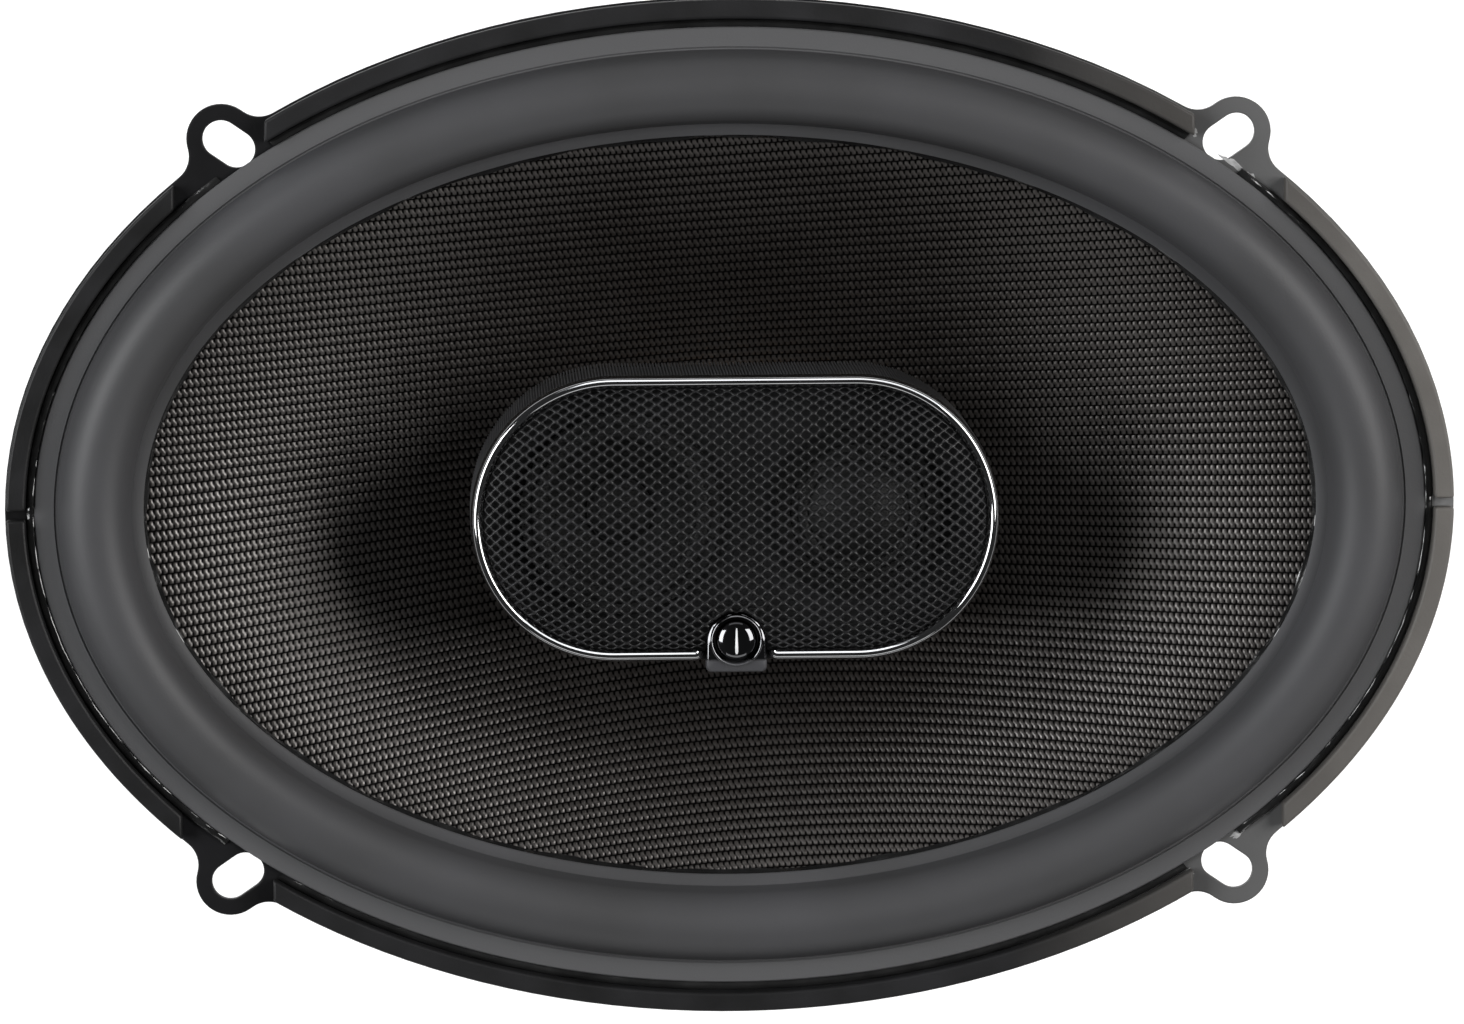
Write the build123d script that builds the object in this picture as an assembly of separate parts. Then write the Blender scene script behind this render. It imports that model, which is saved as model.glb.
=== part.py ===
from build123d import *
import math
import os

# Coaxial three-way car speaker with an oval basket, all sizes in millimetres.
# +Z is the listening direction, X runs along the long axis of the oval.
# The origin is the centre of the flange's back face, the plane that meets the car panel.

os.makedirs("parts", exist_ok=True)

# ---------------------------------------------------------------- flange and basket
rim_half_length = 118.0
rim_half_width = 83.0
flange_thickness = 1.4
ear_hole_x = 81.0
ear_hole_y = 59.8
ear_angle = 34.5
ear_slot_width = 6.0
ear_slot_length = 9.0
ear_radius = 5.6
ear_blend_radius = 4.5

wall = 1.5
skirt_stations = [
    (107.0, 72.3, flange_thickness),
    (103.0, 69.3, -9.0),
    (54.0, 54.0, -38.6),
]
shelf_z = -38.6
shelf_thickness = 1.4
cup_radius = 44.0
basket_floor_z = -48.5
basket_floor_thickness = 1.4
basket_floor_hole = 20.0

window_count = 14
window_low = -34.5
window_high = -12.5
window_widest = 22.5
window_spoke = 9.0
window_path_half_length = 79.0
window_path_half_width = 60.0
vent_count = 8
vent_width = 13.0
vent_height = 3.6
vent_z = -43.6

# ---------------------------------------------------------------- rim gasket and surround
gasket_outer_inset = 0.3
gasket_inner_inset = 3.4
gasket_height = 3.2
gasket_ear_from = 75.2
gasket_ear_to = 89.9
gasket_side_notch = 1.5
bead_outer_inset = 3.5
bead_inner_inset = 4.7
bead_height = 0.7
lip_outer_inset = 4.8
roll_outer_inset = 8.5
roll_inner_inset = 20.4
lip_inner_inset = 22.4
lip_thickness = 0.9
roll_height = 6.6
roll_steps = 6

# ---------------------------------------------------------------- woofer cone and motor
cone_half_length = 97.2
cone_half_width = 62.2
cone_depth = 33.2
cone_edge_z = -0.6
cone_flare = 1.3
cone_thickness = 0.7
cone_steps = 6
former_outer = 17.25
former_inner = 17.0
former_top = -32.0
former_bottom = -58.0
winding_outer = 17.9
winding_top = -45.5
winding_bottom = -57.5
screen_inner = 7.2
screen_z = -34.6
screen_thickness = 0.8
spider_inner = 17.6
spider_outer = 52.0
spider_thickness = 0.8

top_plate_radius = 47.0
top_plate_inner = 18.3
top_plate_thickness = 6.0
magnet_radius = 49.0
magnet_inner = 24.0
magnet_thickness = 17.0
back_plate_radius = 46.5
back_plate_thickness = 7.0
pole_radius = 16.3
boot_wall = 1.5
boot_top_z = -55.5
rivet_circle = 33.0
rivet_count = 6
rivet_radius = 1.6
rivet_head_radius = 2.8
rivet_head_height = 1.1
rivet_grip = 3.0

# ---------------------------------------------------------------- centre post and its lead
post_radius = 6.0
post_bore = 2.6
stem_radius = 4.5
spigot_radius = 4.2
stem_end_z = -69.0
nut_height = 3.0
nut_flats = 13.0
rear_bore_radius = 9.5
rear_bore_top_z = -66.0
lead_radius = 1.1
lead_groove = 3.2
lead_drop_y = -53.6

# ---------------------------------------------------------------- terminals
terminal_x = 10.0
terminal_z = -30.0
terminal_face_y = -73.0
terminal_block_y = -64.0
terminal_size = 8.0
wire_entry_radius = 2.0
wire_entry_depth = 7.0
set_screw_radius = 1.5
carrier_half_length = 17.0
carrier_low_z = -36.0
carrier_high_z = -24.0
tab_width = 3.0
tab_thickness = 0.7
tab_end_y = -50.5
tinsel_radius = 0.8

# ---------------------------------------------------------------- pod over the woofer
pod_half_span = 19.5
pod_radius = 22.9
pod_wall = 1.6
pod_floor_z = -13.0
pod_floor_radius = 14.0
pod_split_z = -0.5
pod_top_z = 16.0
pod_floor_thickness = 2.0
baffle_z = 6.0
baffle_thickness = 2.0
boss_y = 12.0
boss_radius = 2.4
boss_clear_hole = 1.3
pod_screw_radius = 1.1
pod_screw_tip_z = -1.0
pod_screw_head_radius = 2.2
pod_screw_head_height = 1.2

trim_radius = 23.05
trim_width = 1.25
trim_top_z = 18.2
grille_edge_radius = 21.7
grille_edge_z = 16.2
grille_crown_z = 19.2
grille_thickness = 0.6

knob_y = -19.6
bezel_radius = 4.9
bezel_arch_y = -19.9
bezel_foot_y = -23.8
bezel_low_z = 14.5
bezel_top_z = 18.6
bezel_lip_height = 0.5
bezel_lip_width = 0.4
bezel_recess_radius = 3.75
bezel_recess_z = 16.6
knob_radius = 3.35
knob_shoulder_z = 18.2
knob_crown_z = 19.6
knob_gap = 0.2
knob_shaft_radius = 1.2
knob_bore_radius = 1.26
knob_shaft_end_z = 9.6
pointer_length = 4.3
pointer_width = 0.55

switch_width = 7.0
switch_depth = 6.0
switch_height = 4.5

# ---------------------------------------------------------------- crossover in the pod's base
board_z = -7.6
board_thickness = 1.2
board_radius = 15.2
inductor_radius = 5.6
inductor_core_radius = 3.2
inductor_bore = 1.8
inductor_height = 5.2
inductor_flange = 0.8
capacitor_radius = 2.4
capacitor_length = 12.0
capacitor_x = 19.0
capacitor_y = 6.0

# ---------------------------------------------------------------- midrange and tweeter
mid_x = -18.3
mid_hole = 13.5
mid_flange_radius = 16.5
mid_cone_radius = 12.3
mid_roll_outer = 14.6
mid_coil_radius = 5.2
mid_cone_edge = 1.3
mid_cone_neck = -3.8
mid_cap_rise = 2.0

tweeter_x = 20.3
tweeter_hole = 11.7
tweeter_flange_radius = 13.5
dome_radius = 8.2
dome_edge = 1.3
dome_height = 3.0
tweeter_roll_outer = 9.9


def save(name, shape):
    export_step(shape, f"parts/{name}.step")


def disc(radius, low, high, x=0.0, y=0.0):
    """Solid round bar standing between two heights."""
    bar = Cylinder(radius, high - low, align=(Align.CENTER, Align.CENTER, Align.MIN))
    return Pos(x, y, low) * bar


def ring(outer, inner, low, high, x=0.0, y=0.0):
    return disc(outer, low, high, x, y) - disc(inner, low, high, x, y)


def block(x_low, x_high, y_low, y_high, z_low, z_high):
    size = Box(x_high - x_low, y_high - y_low, z_high - z_low)
    return Pos((x_low + x_high) / 2, (y_low + y_high) / 2, (z_low + z_high) / 2) * size


def oval(inset):
    """Ellipse that runs a constant inset inside the rim."""
    return Ellipse(rim_half_length - inset, rim_half_width - inset)


def oval_ring(outer_inset, inner_inset, low, height):
    face = oval(outer_inset) - oval(inner_inset)
    return extrude(Pos(0, 0, low) * face, height)


def oval_loft(stations):
    """Solid whose sections are centred ellipses (half length, half width, height)."""
    sections = [Pos(0, 0, z) * Ellipse(a, b) for a, b, z in stations]
    return loft(sections, ruled=True)


def stadium(radius):
    return SlotCenterToCenter(2 * pod_half_span, 2 * radius)


def stadium_bar(radius, low, high):
    return extrude(Pos(0, 0, low) * stadium(radius), high - low)


def stadium_loft(stations):
    sections = [Pos(0, 0, z) * stadium(radius) for radius, z in stations]
    return loft(sections, ruled=True)


def turned(points, x=0.0):
    """Solid of revolution about a vertical axis from (radius, height) corners."""
    outline = Polyline(*[(radius, 0, z) for radius, z in points], close=True)
    return Pos(x, 0, 0) * revolve(make_face(outline), Axis.Z)


def hex_nut(flats, bore, low, high):
    body = extrude(Pos(0, 0, low) * RegularPolygon(flats / 2, 6, major_radius=False), high - low)
    return body - disc(bore, low, high)


# ================================================================ ears and their slots
ear_axis = Vector(math.cos(math.radians(ear_angle)), math.sin(math.radians(ear_angle)))
slot_half_run = (ear_slot_length - ear_slot_width) / 2
ear_reach = 12.0
ear_corners = [(sx, sy) for sx in (-1, 1) for sy in (-1, 1)]


def ear_pad(sx, sy):
    """Rounded tongue from inside the rim out to the far end of the slot."""
    far = Vector(ear_hole_x, ear_hole_y) + ear_axis * slot_half_run
    near = far - ear_axis * ear_reach
    middle = (far + near) * 0.5
    turn = math.degrees(math.atan2(sy * ear_axis.Y, sx * ear_axis.X))
    return Pos(sx * middle.X, sy * middle.Y) * Rot(0, 0, turn) * SlotCenterToCenter(ear_reach, 2 * ear_radius)


def ear_slot(sx, sy):
    turn = math.degrees(math.atan2(sy * ear_axis.Y, sx * ear_axis.X))
    slot = SlotOverall(ear_slot_length, ear_slot_width)
    return Pos(sx * ear_hole_x, sy * ear_hole_y) * Rot(0, 0, turn) * slot


def on_rim(vertex):
    reach = (vertex.X / rim_half_length) ** 2 + (vertex.Y / rim_half_width) ** 2
    return abs(reach - 1) < 1e-3 and abs(vertex.Y) > 1


flange_outline = oval(0)
for sx, sy in ear_corners:
    flange_outline += ear_pad(sx, sy)
blend_corners = [v for v in flange_outline.vertices() if on_rim(v)]
flange_outline = fillet(blend_corners, ear_blend_radius)
for sx, sy in ear_corners:
    flange_outline -= ear_slot(sx, sy)

# ================================================================ terminals on the lower spoke
skirt_outer = oval_loft(skirt_stations)


def terminal(side):
    """Brass block with a wire entry, and a tab that reaches inside the basket."""
    x = side * terminal_x
    half = terminal_size / 2
    body = block(x - half, x + half, terminal_face_y, terminal_block_y, terminal_z - half, terminal_z + half)
    body = fillet(body.edges().filter_by(Axis.Z), 0.8)
    tab = block(x - tab_width / 2, x + tab_width / 2, terminal_block_y - 1, tab_end_y,
                terminal_z, terminal_z + tab_thickness)
    entry = Pos(x, terminal_face_y, terminal_z) * Rot(-90, 0, 0) * Cylinder(
        wire_entry_radius, wire_entry_depth, align=(Align.CENTER, Align.CENTER, Align.MIN))
    screw_hole = disc(set_screw_radius, terminal_z - half, terminal_z - wire_entry_radius + 0.3,
                      x, (terminal_face_y + terminal_block_y) / 2)
    return body + tab - entry - screw_hole


def set_screw(side):
    x = side * terminal_x
    y = (terminal_face_y + terminal_block_y) / 2
    low = terminal_z - terminal_size / 2 - 1.5
    screw = disc(set_screw_radius, low, terminal_z - wire_entry_radius - 0.2, x, y)
    return screw - block(x - 2, x + 2, y - 0.25, y + 0.25, low, low + 0.9)


terminal_positive = terminal(-1)
terminal_negative = terminal(1)
carrier = block(-carrier_half_length, carrier_half_length, terminal_block_y, -45.0,
                carrier_low_z, carrier_high_z)
carrier += block(-2.0, 2.0, terminal_face_y + 1.0, terminal_block_y, carrier_low_z, carrier_high_z)
carrier -= skirt_outer
carrier = Part() + carrier.solids().sort_by(Axis.Y)[0]
carrier -= terminal_positive
carrier -= terminal_negative

# ================================================================ basket
skirt_inner = oval_loft([(a - wall, b - wall, z) for a, b, z in skirt_stations])
basket = extrude(flange_outline, flange_thickness) + skirt_outer - skirt_inner
basket += ring(skirt_stations[-1][0], cup_radius - wall, shelf_z - shelf_thickness, shelf_z)
basket += ring(cup_radius, cup_radius - wall, basket_floor_z, shelf_z - shelf_thickness)
basket += ring(cup_radius, basket_floor_hole, basket_floor_z, basket_floor_z + basket_floor_thickness)

for index in range(window_count):
    turn = 2 * math.pi * index / window_count
    across = window_path_half_length * math.sin(turn)
    along = window_path_half_width * math.cos(turn)
    spacing = 2 * math.pi / window_count * math.hypot(across, along)
    width = min(spacing - window_spoke, window_widest)
    heading = math.degrees(math.atan2(window_path_half_width * math.sin(turn),
                                      window_path_half_length * math.cos(turn)))
    opening = Box(80.0, width, window_high - window_low)
    opening = fillet(opening.edges().filter_by(Axis.X), 3.5)
    centre_z = (window_low + window_high) / 2
    basket -= Rot(0, 0, heading) * Pos(85.0, 0, centre_z) * opening

for index in range(vent_count):
    heading = 360 * (index + 0.5) / vent_count
    opening = fillet(Box(8.0, vent_width, vent_height).edges().filter_by(Axis.X), 1.5)
    basket -= Rot(0, 0, heading) * Pos(cup_radius, 0, vent_z) * opening

rivet_spots = [Vector(rivet_circle, 0).rotate(Axis.Z, 360 * i / rivet_count + 30) for i in range(rivet_count)]
floor_top = basket_floor_z + basket_floor_thickness
rivet_tip = basket_floor_z - rivet_grip
top_plate_low = basket_floor_z - top_plate_thickness
top_plate = ring(top_plate_radius, top_plate_inner, top_plate_low, basket_floor_z)
rivets = Part()
for spot in rivet_spots:
    basket -= disc(rivet_radius, basket_floor_z, floor_top, spot.X, spot.Y)
    top_plate -= disc(rivet_radius, rivet_tip, basket_floor_z, spot.X, spot.Y)
    rivets += disc(rivet_radius, rivet_tip, floor_top, spot.X, spot.Y)
    head = disc(rivet_head_radius, floor_top, floor_top + rivet_head_height, spot.X, spot.Y)
    rivets += fillet(head.edges().group_by(Axis.Z)[-1], 0.7)

save("basket", basket)
save("terminal_carrier", carrier)
save("terminal_positive", terminal_positive)
save("terminal_negative", terminal_negative)
save("terminal_screws", set_screw(-1) + set_screw(1))
save("basket_rivets", rivets)

# ================================================================ rim gasket, six moulded strips
gasket = oval_ring(gasket_outer_inset, gasket_inner_inset, flange_thickness, gasket_height)
top = flange_thickness + gasket_height
for sx, sy in ear_corners:
    near = sorted((sx * gasket_ear_from, sx * gasket_ear_to))
    rows = sorted((sy * 30.0, sy * 90.0))
    gasket -= block(near[0], near[1], rows[0], rows[1], flange_thickness, top)
notch_half = gasket_side_notch / 2
gasket -= block(-130, 130, -notch_half, notch_half, flange_thickness, top)
strips = gasket.solids()
long_strips = sorted([s for s in strips if abs(s.center().X) < 20], key=lambda s: s.center().Y)
short_strips = [s for s in strips if abs(s.center().X) >= 20]
save("rim_gasket_bottom", long_strips[0])
save("rim_gasket_top", long_strips[1])
for strip in short_strips:
    side = "left" if strip.center().X < 0 else "right"
    level = "lower" if strip.center().Y < 0 else "upper"
    save(f"rim_gasket_{side}_{level}", strip)

bead = oval_ring(bead_outer_inset, bead_inner_inset, flange_thickness, bead_height)
for sx, sy in ear_corners:
    bead -= extrude(Pos(0, 0, flange_thickness) * ear_slot(sx, sy), bead_height)
save("adhesive_bead", bead)


# ================================================================ surround: half roll with two lips
def roll_bump(outer_inset, inner_inset, height, base):
    """Half-round ring: an outward-facing mound less the bowl inside its crest."""
    middle = (outer_inset + inner_inset) / 2
    half = (inner_inset - outer_inset) / 2
    mound = []
    bowl = []
    for step in range(roll_steps + 1):
        lift = math.pi / 2 * step / roll_steps
        offset = half * math.cos(lift)
        z = base + height * math.sin(lift)
        mound.append((rim_half_length - middle + offset, rim_half_width - middle + offset, z))
        bowl.append((rim_half_length - middle - offset, rim_half_width - middle - offset, z))
    return oval_loft(mound) - oval_loft(bowl)


roll_base = flange_thickness
surround = roll_bump(roll_outer_inset, roll_inner_inset, roll_height, roll_base)
surround -= roll_bump(roll_outer_inset + lip_thickness, roll_inner_inset - lip_thickness,
                      roll_height - lip_thickness, roll_base)
surround += oval_ring(lip_outer_inset, roll_outer_inset + lip_thickness, roll_base, lip_thickness)
surround += oval_ring(roll_inner_inset - lip_thickness, lip_inner_inset, roll_base, lip_thickness)
save("surround", surround)


# ================================================================ woofer cone, coil and spider
def cone_stations(drop, grow):
    """Flared cone surface from the neck circle to the oval edge."""
    rows = []
    for step in range(cone_steps + 1):
        run = (step / cone_steps) ** 1.4
        rise = 1 - (1 - run) ** cone_flare
        a = former_outer + grow + (cone_half_length - former_outer) * run
        b = former_outer + grow + (cone_half_width - former_outer) * run
        rows.append((a, b, cone_edge_z - cone_depth + cone_depth * rise - drop))
    return rows


cone_back = oval_loft(cone_stations(cone_thickness, 0.0))
cone_front = oval_loft(cone_stations(0.0, 0.0))
cone_floor_z = cone_edge_z - cone_depth
cone = cone_back - cone_front - disc(former_outer, former_bottom, 0)
save("woofer_cone", cone)

pads = Part()
for side in (-1, 1):
    spot = disc(1.8, -40.0, -10.0, side * 8.0, -28.0)
    pads += spot & (Pos(0, 0, -0.9) * cone_back) - cone_back
save("lead_pads", pads)

save("voice_coil_former", ring(former_outer, former_inner, former_bottom, former_top))
save("voice_coil_winding", ring(winding_outer, former_outer, winding_bottom, winding_top))
save("dust_screen", ring(former_inner, screen_inner, screen_z, screen_z + screen_thickness))
save("spider", ring(spider_outer, spider_inner, shelf_z, shelf_z + spider_thickness))

# ================================================================ magnet motor
magnet_low = top_plate_low - magnet_thickness
back_low = magnet_low - back_plate_thickness
yoke = disc(back_plate_radius, back_low, magnet_low) + disc(pole_radius, magnet_low, basket_floor_z)
yoke -= disc(stem_radius, rear_bore_top_z, basket_floor_z)
yoke -= disc(rear_bore_radius, back_low, rear_bore_top_z)
yoke -= block(-lead_groove / 2, lead_groove / 2, -60.0, 0.0, back_low, back_low + lead_groove)
save("top_plate", top_plate)
save("ring_magnet", ring(magnet_radius, magnet_inner, magnet_low, top_plate_low))
save("pole_yoke", yoke)

boot = disc(magnet_radius + boot_wall, back_low - boot_wall, boot_top_z)
boot -= disc(magnet_radius, magnet_low, boot_top_z)
boot -= disc(back_plate_radius, back_low, magnet_low)
boot -= block(-lead_groove / 2, lead_groove / 2, -60.0, -back_plate_radius + 1, back_low, magnet_low + 1.5)
save("magnet_boot", boot)

# ================================================================ centre post with its nuts
post = disc(post_radius, basket_floor_z, pod_floor_z)
post += disc(stem_radius, stem_end_z, basket_floor_z)
post += disc(spigot_radius, pod_floor_z, pod_floor_z + pod_floor_thickness + nut_height - 0.5)
post -= disc(post_bore, stem_end_z, 0)
save("centre_post", post)
save("post_nut_rear", hex_nut(nut_flats, stem_radius, stem_end_z, rear_bore_top_z))
inner_floor = pod_floor_z + pod_floor_thickness
save("post_nut_front", hex_nut(11.0, spigot_radius, inner_floor, inner_floor + nut_height - 0.5))

# The pod lead runs down the hollow post, along the groove in the back plate and up to the carrier.
groove_z = back_low + lead_groove / 2
lead_route = [
    (0, 0, board_z + board_thickness),
    (0, 0, groove_z),
    (0, lead_drop_y, groove_z),
    (0, lead_drop_y, -58.0),
    (0, -61.0, -45.5),
    (0, -61.0, carrier_low_z),
]
lead_radii = [5.5, 5.5, 16.0, 13.0]
lead_path = FilletPolyline(*lead_route, radius=lead_radii)
lead_start = Plane(origin=lead_path @ 0, z_dir=lead_path % 0)
pod_lead = sweep(lead_start * Circle(lead_radius), path=lead_path)
print("pod_lead length", lead_path.length, "radii", lead_radii)
print("pod_lead volume ratio", pod_lead.volume / (math.pi * lead_radius**2 * lead_path.length))
save("pod_lead", pod_lead)


# Braided leads from the terminal tabs to the pads behind the cone.
def tinsel_lead(side):
    points = [
        (side * 10.0, tab_end_y - 1.2, terminal_z - tinsel_radius),
        (side * 9.9, tab_end_y + 4.6, terminal_z - 1.5),
        (side * 9.4, tab_end_y + 10.5, terminal_z - 2.2),
        (side * 8.8, tab_end_y + 16.4, terminal_z - 0.6),
        (side * 8.2, tab_end_y + 21.2, terminal_z + 3.0),
    ]
    runs = [Vector(*points[i + 1]) - Vector(*points[i]) for i in range(len(points) - 1)]
    radii = []
    for before, after in zip(runs, runs[1:]):
        half_turn = math.radians(before.get_angle(after)) / 2
        radii.append(0.45 * min(before.length, after.length) / math.tan(half_turn))
    path = FilletPolyline(*points, radius=radii)
    start = Plane(origin=path @ 0, z_dir=path % 0)
    print("tinsel lead length", path.length, "radii", [round(r, 1) for r in radii])
    return sweep(start * Circle(tinsel_radius), path=path)


save("tinsel_lead_positive", tinsel_lead(-1))
save("tinsel_lead_negative", tinsel_lead(1))

# ================================================================ pod shells
base_stations = [(pod_floor_radius, pod_floor_z), (pod_radius, pod_split_z)]
pod_base = stadium_loft(base_stations)
pod_base -= stadium_loft([(pod_floor_radius - pod_wall, inner_floor), (pod_radius - pod_wall, pod_split_z)])
pod_base -= disc(spigot_radius, pod_floor_z, inner_floor)
pod_housing = stadium_bar(pod_radius, pod_split_z, pod_top_z) - stadium_bar(pod_radius - pod_wall, pod_split_z,
                                                                           pod_top_z)
baffle = stadium_bar(pod_radius - pod_wall, baffle_z, baffle_z + baffle_thickness)
baffle -= disc(mid_hole, baffle_z, baffle_z + baffle_thickness, mid_x)
baffle -= disc(tweeter_hole, baffle_z, baffle_z + baffle_thickness, tweeter_x)
pod_housing += baffle
board = stadium_bar(board_radius, board_z, board_z + board_thickness)
board -= disc(lead_radius + 0.2, board_z, board_z + board_thickness)
pod_screws = Part()
for y in (-boss_y, boss_y):
    pod_base += disc(boss_radius, pod_floor_z, board_z, 0, y)
    pod_base -= disc(boss_clear_hole, pod_floor_z, board_z, 0, y)
    pod_housing += disc(boss_radius, board_z + board_thickness, baffle_z, 0, y)
    pod_housing -= disc(pod_screw_radius, board_z + board_thickness, pod_screw_tip_z, 0, y)
    board -= disc(boss_clear_hole, board_z, board_z + board_thickness, 0, y)
    pod_screws += disc(pod_screw_radius, pod_floor_z, pod_screw_tip_z, 0, y)
    head = disc(pod_screw_head_radius, pod_floor_z - pod_screw_head_height, pod_floor_z, 0, y)
    pod_screws += fillet(head.edges().group_by(Axis.Z)[0], 0.6)

# ================================================================ bezel and level knob
bezel_outline = Pos(0, bezel_arch_y) * Circle(bezel_radius)
bezel_outline += Pos(0, (bezel_arch_y + bezel_foot_y) / 2) * Rectangle(2 * bezel_radius, bezel_arch_y - bezel_foot_y)
bezel_bar = extrude(Pos(0, 0, bezel_low_z) * bezel_outline, bezel_top_z - bezel_low_z)
bezel = bezel_bar + ring(bezel_recess_radius + bezel_lip_width, bezel_recess_radius, bezel_top_z,
                         bezel_top_z + bezel_lip_height, 0, knob_y)
bezel -= disc(bezel_recess_radius, bezel_recess_z, bezel_top_z + 1, 0, knob_y)
bezel -= disc(knob_bore_radius, bezel_low_z, bezel_recess_z, 0, knob_y)
save("knob_bezel", bezel)

dome_rise = knob_crown_z - knob_shoulder_z
dome_sphere_radius = (knob_radius**2 + dome_rise**2) / (2 * dome_rise)
knob_cap = disc(knob_radius, bezel_recess_z + knob_gap, knob_crown_z, 0, knob_y)
knob_cap &= Pos(0, knob_y, knob_crown_z - dome_sphere_radius) * Sphere(dome_sphere_radius)
knob = knob_cap + disc(knob_shaft_radius, knob_shaft_end_z, bezel_recess_z + knob_gap, 0, knob_y)
pointer = block(-pointer_width / 2, pointer_width / 2, knob_y - pointer_length / 2,
                knob_y + pointer_length / 2, knob_shoulder_z - 0.2, knob_crown_z + 0.15)
save("level_knob", knob - pointer)
save("knob_pointer", pointer)

switch = block(-switch_width / 2, switch_width / 2, knob_y - switch_depth / 2 + 1.4,
               knob_y + switch_depth / 2 + 1.4, baffle_z + baffle_thickness,
               baffle_z + baffle_thickness + switch_height)
switch -= disc(knob_bore_radius, knob_shaft_end_z - 0.2, 20, 0, knob_y)
save("level_switch", switch)

clear_outline = Pos(0, 0, -30) * bezel_outline
bezel_room = extrude(clear_outline, 60)
pod_housing -= bezel_bar
save("pod_base", pod_base)
save("pod_housing", pod_housing)
save("pod_screws", pod_screws)
save("crossover_board", board)

trim = stadium_bar(trim_radius, pod_top_z, trim_top_z) - stadium_bar(trim_radius - trim_width, pod_top_z, trim_top_z)
trim = fillet(trim.edges().group_by(Axis.Z)[-1], 0.55)
save("trim_ring", trim - bezel_room)

crown_middle = (grille_edge_z + grille_crown_z) / 2 + 0.5
grille_stations = [
    (grille_edge_radius, grille_edge_z),
    (grille_edge_radius - 2.4, crown_middle),
    (grille_edge_radius - 8.0, grille_crown_z),
]
grille = stadium_loft(grille_stations)
grille -= stadium_loft([(radius - grille_thickness, z - grille_thickness) for radius, z in grille_stations])
grille -= bezel_room
save("grille", grille)

# ================================================================ crossover parts
board_top = board_z + board_thickness
inductor_top = board_top + inductor_height
bobbin = ring(inductor_radius, inductor_bore, board_top, board_top + inductor_flange)
bobbin += ring(inductor_core_radius, inductor_bore, board_top, inductor_top)
bobbin += ring(inductor_radius, inductor_bore, inductor_top - inductor_flange, inductor_top)
winding = ring(inductor_radius - 0.3, inductor_core_radius, board_top + inductor_flange,
               inductor_top - inductor_flange)
save("inductor_bobbin", bobbin)
save("inductor_winding", winding)
capacitors = Part()
for y in (-capacitor_y, capacitor_y):
    can = Pos(capacitor_x, y, board_top + capacitor_radius) * Rot(0, 90, 0) * Cylinder(
        capacitor_radius, capacitor_length)
    capacitors += fillet(can.edges(), 0.5)
save("crossover_capacitors", capacitors)

# ================================================================ midrange driver
# Heights of both small drivers are counted from the baffle's face, where their flanges sit.
seat = baffle_z + baffle_thickness


def at_seat(points):
    return [(radius, seat + height) for radius, height in points]


def seat_ring(outer, inner, low, high, x):
    return ring(outer, inner, seat + low, seat + high, x)


def seat_disc(radius, low, high, x):
    return disc(radius, seat + low, seat + high, x)


def dome_shell(radius, rise, thickness, edge, x):
    """Spherical cap standing on the ring of its own edge."""
    sphere = (radius**2 + rise**2) / (2 * rise)
    shell = Sphere(sphere) - Sphere(sphere - thickness)
    return Pos(x, 0, seat + edge + rise - sphere) * shell & seat_disc(radius, edge, edge + rise + 1, x)


def small_roll(inner, outer, lip_out, base, thickness, x):
    """Half-round suspension ring with a flat lip outside it."""
    middle = (inner + outer) / 2
    half = (outer - inner) / 2
    roll = Torus(middle, half) - Torus(middle, half - thickness)
    roll &= ring(outer, inner, 0, half)
    return Pos(x, 0, seat + base) * roll + seat_ring(lip_out, outer - thickness, base, base + thickness, x)


mid_former_outer = mid_coil_radius + 0.2
save("midrange_frame", turned(at_seat([
    (mid_flange_radius, 0.0), (mid_flange_radius, 1.4), (mid_roll_outer, 1.4), (12.6, -0.2), (8.6, -4.8),
    (6.6, -4.8), (6.6, -6.0), (9.4, -6.0), (mid_hole - 0.2, -1.8), (mid_hole - 0.2, 0.0),
]), mid_x))
save("midrange_yoke", seat_ring(9.0, 6.1, -12.0, -6.0, mid_x) + seat_disc(9.0, -13.5, -12.0, mid_x))
save("midrange_magnet", seat_disc(4.7, -12.0, -8.0, mid_x))
save("midrange_pole_plate", seat_disc(4.9, -8.0, -6.0, mid_x))
save("midrange_former", seat_ring(mid_former_outer, mid_coil_radius, -10.0, mid_cone_neck + 0.6, mid_x))
save("midrange_winding", seat_ring(mid_former_outer + 0.4, mid_former_outer, -9.0, -6.0, mid_x))
save("midrange_cone", turned(at_seat([
    (mid_former_outer, mid_cone_neck), (mid_cone_radius, mid_cone_edge),
    (mid_cone_radius, mid_cone_edge - 0.6), (mid_former_outer, mid_cone_neck - 0.6),
]), mid_x))
save("midrange_dust_cap", dome_shell(mid_coil_radius, mid_cap_rise, 0.3, mid_cone_neck + 0.6, mid_x))
save("midrange_surround", small_roll(mid_cone_radius + 0.1, mid_roll_outer, 16.2, 1.4, 0.35, mid_x))

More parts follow.
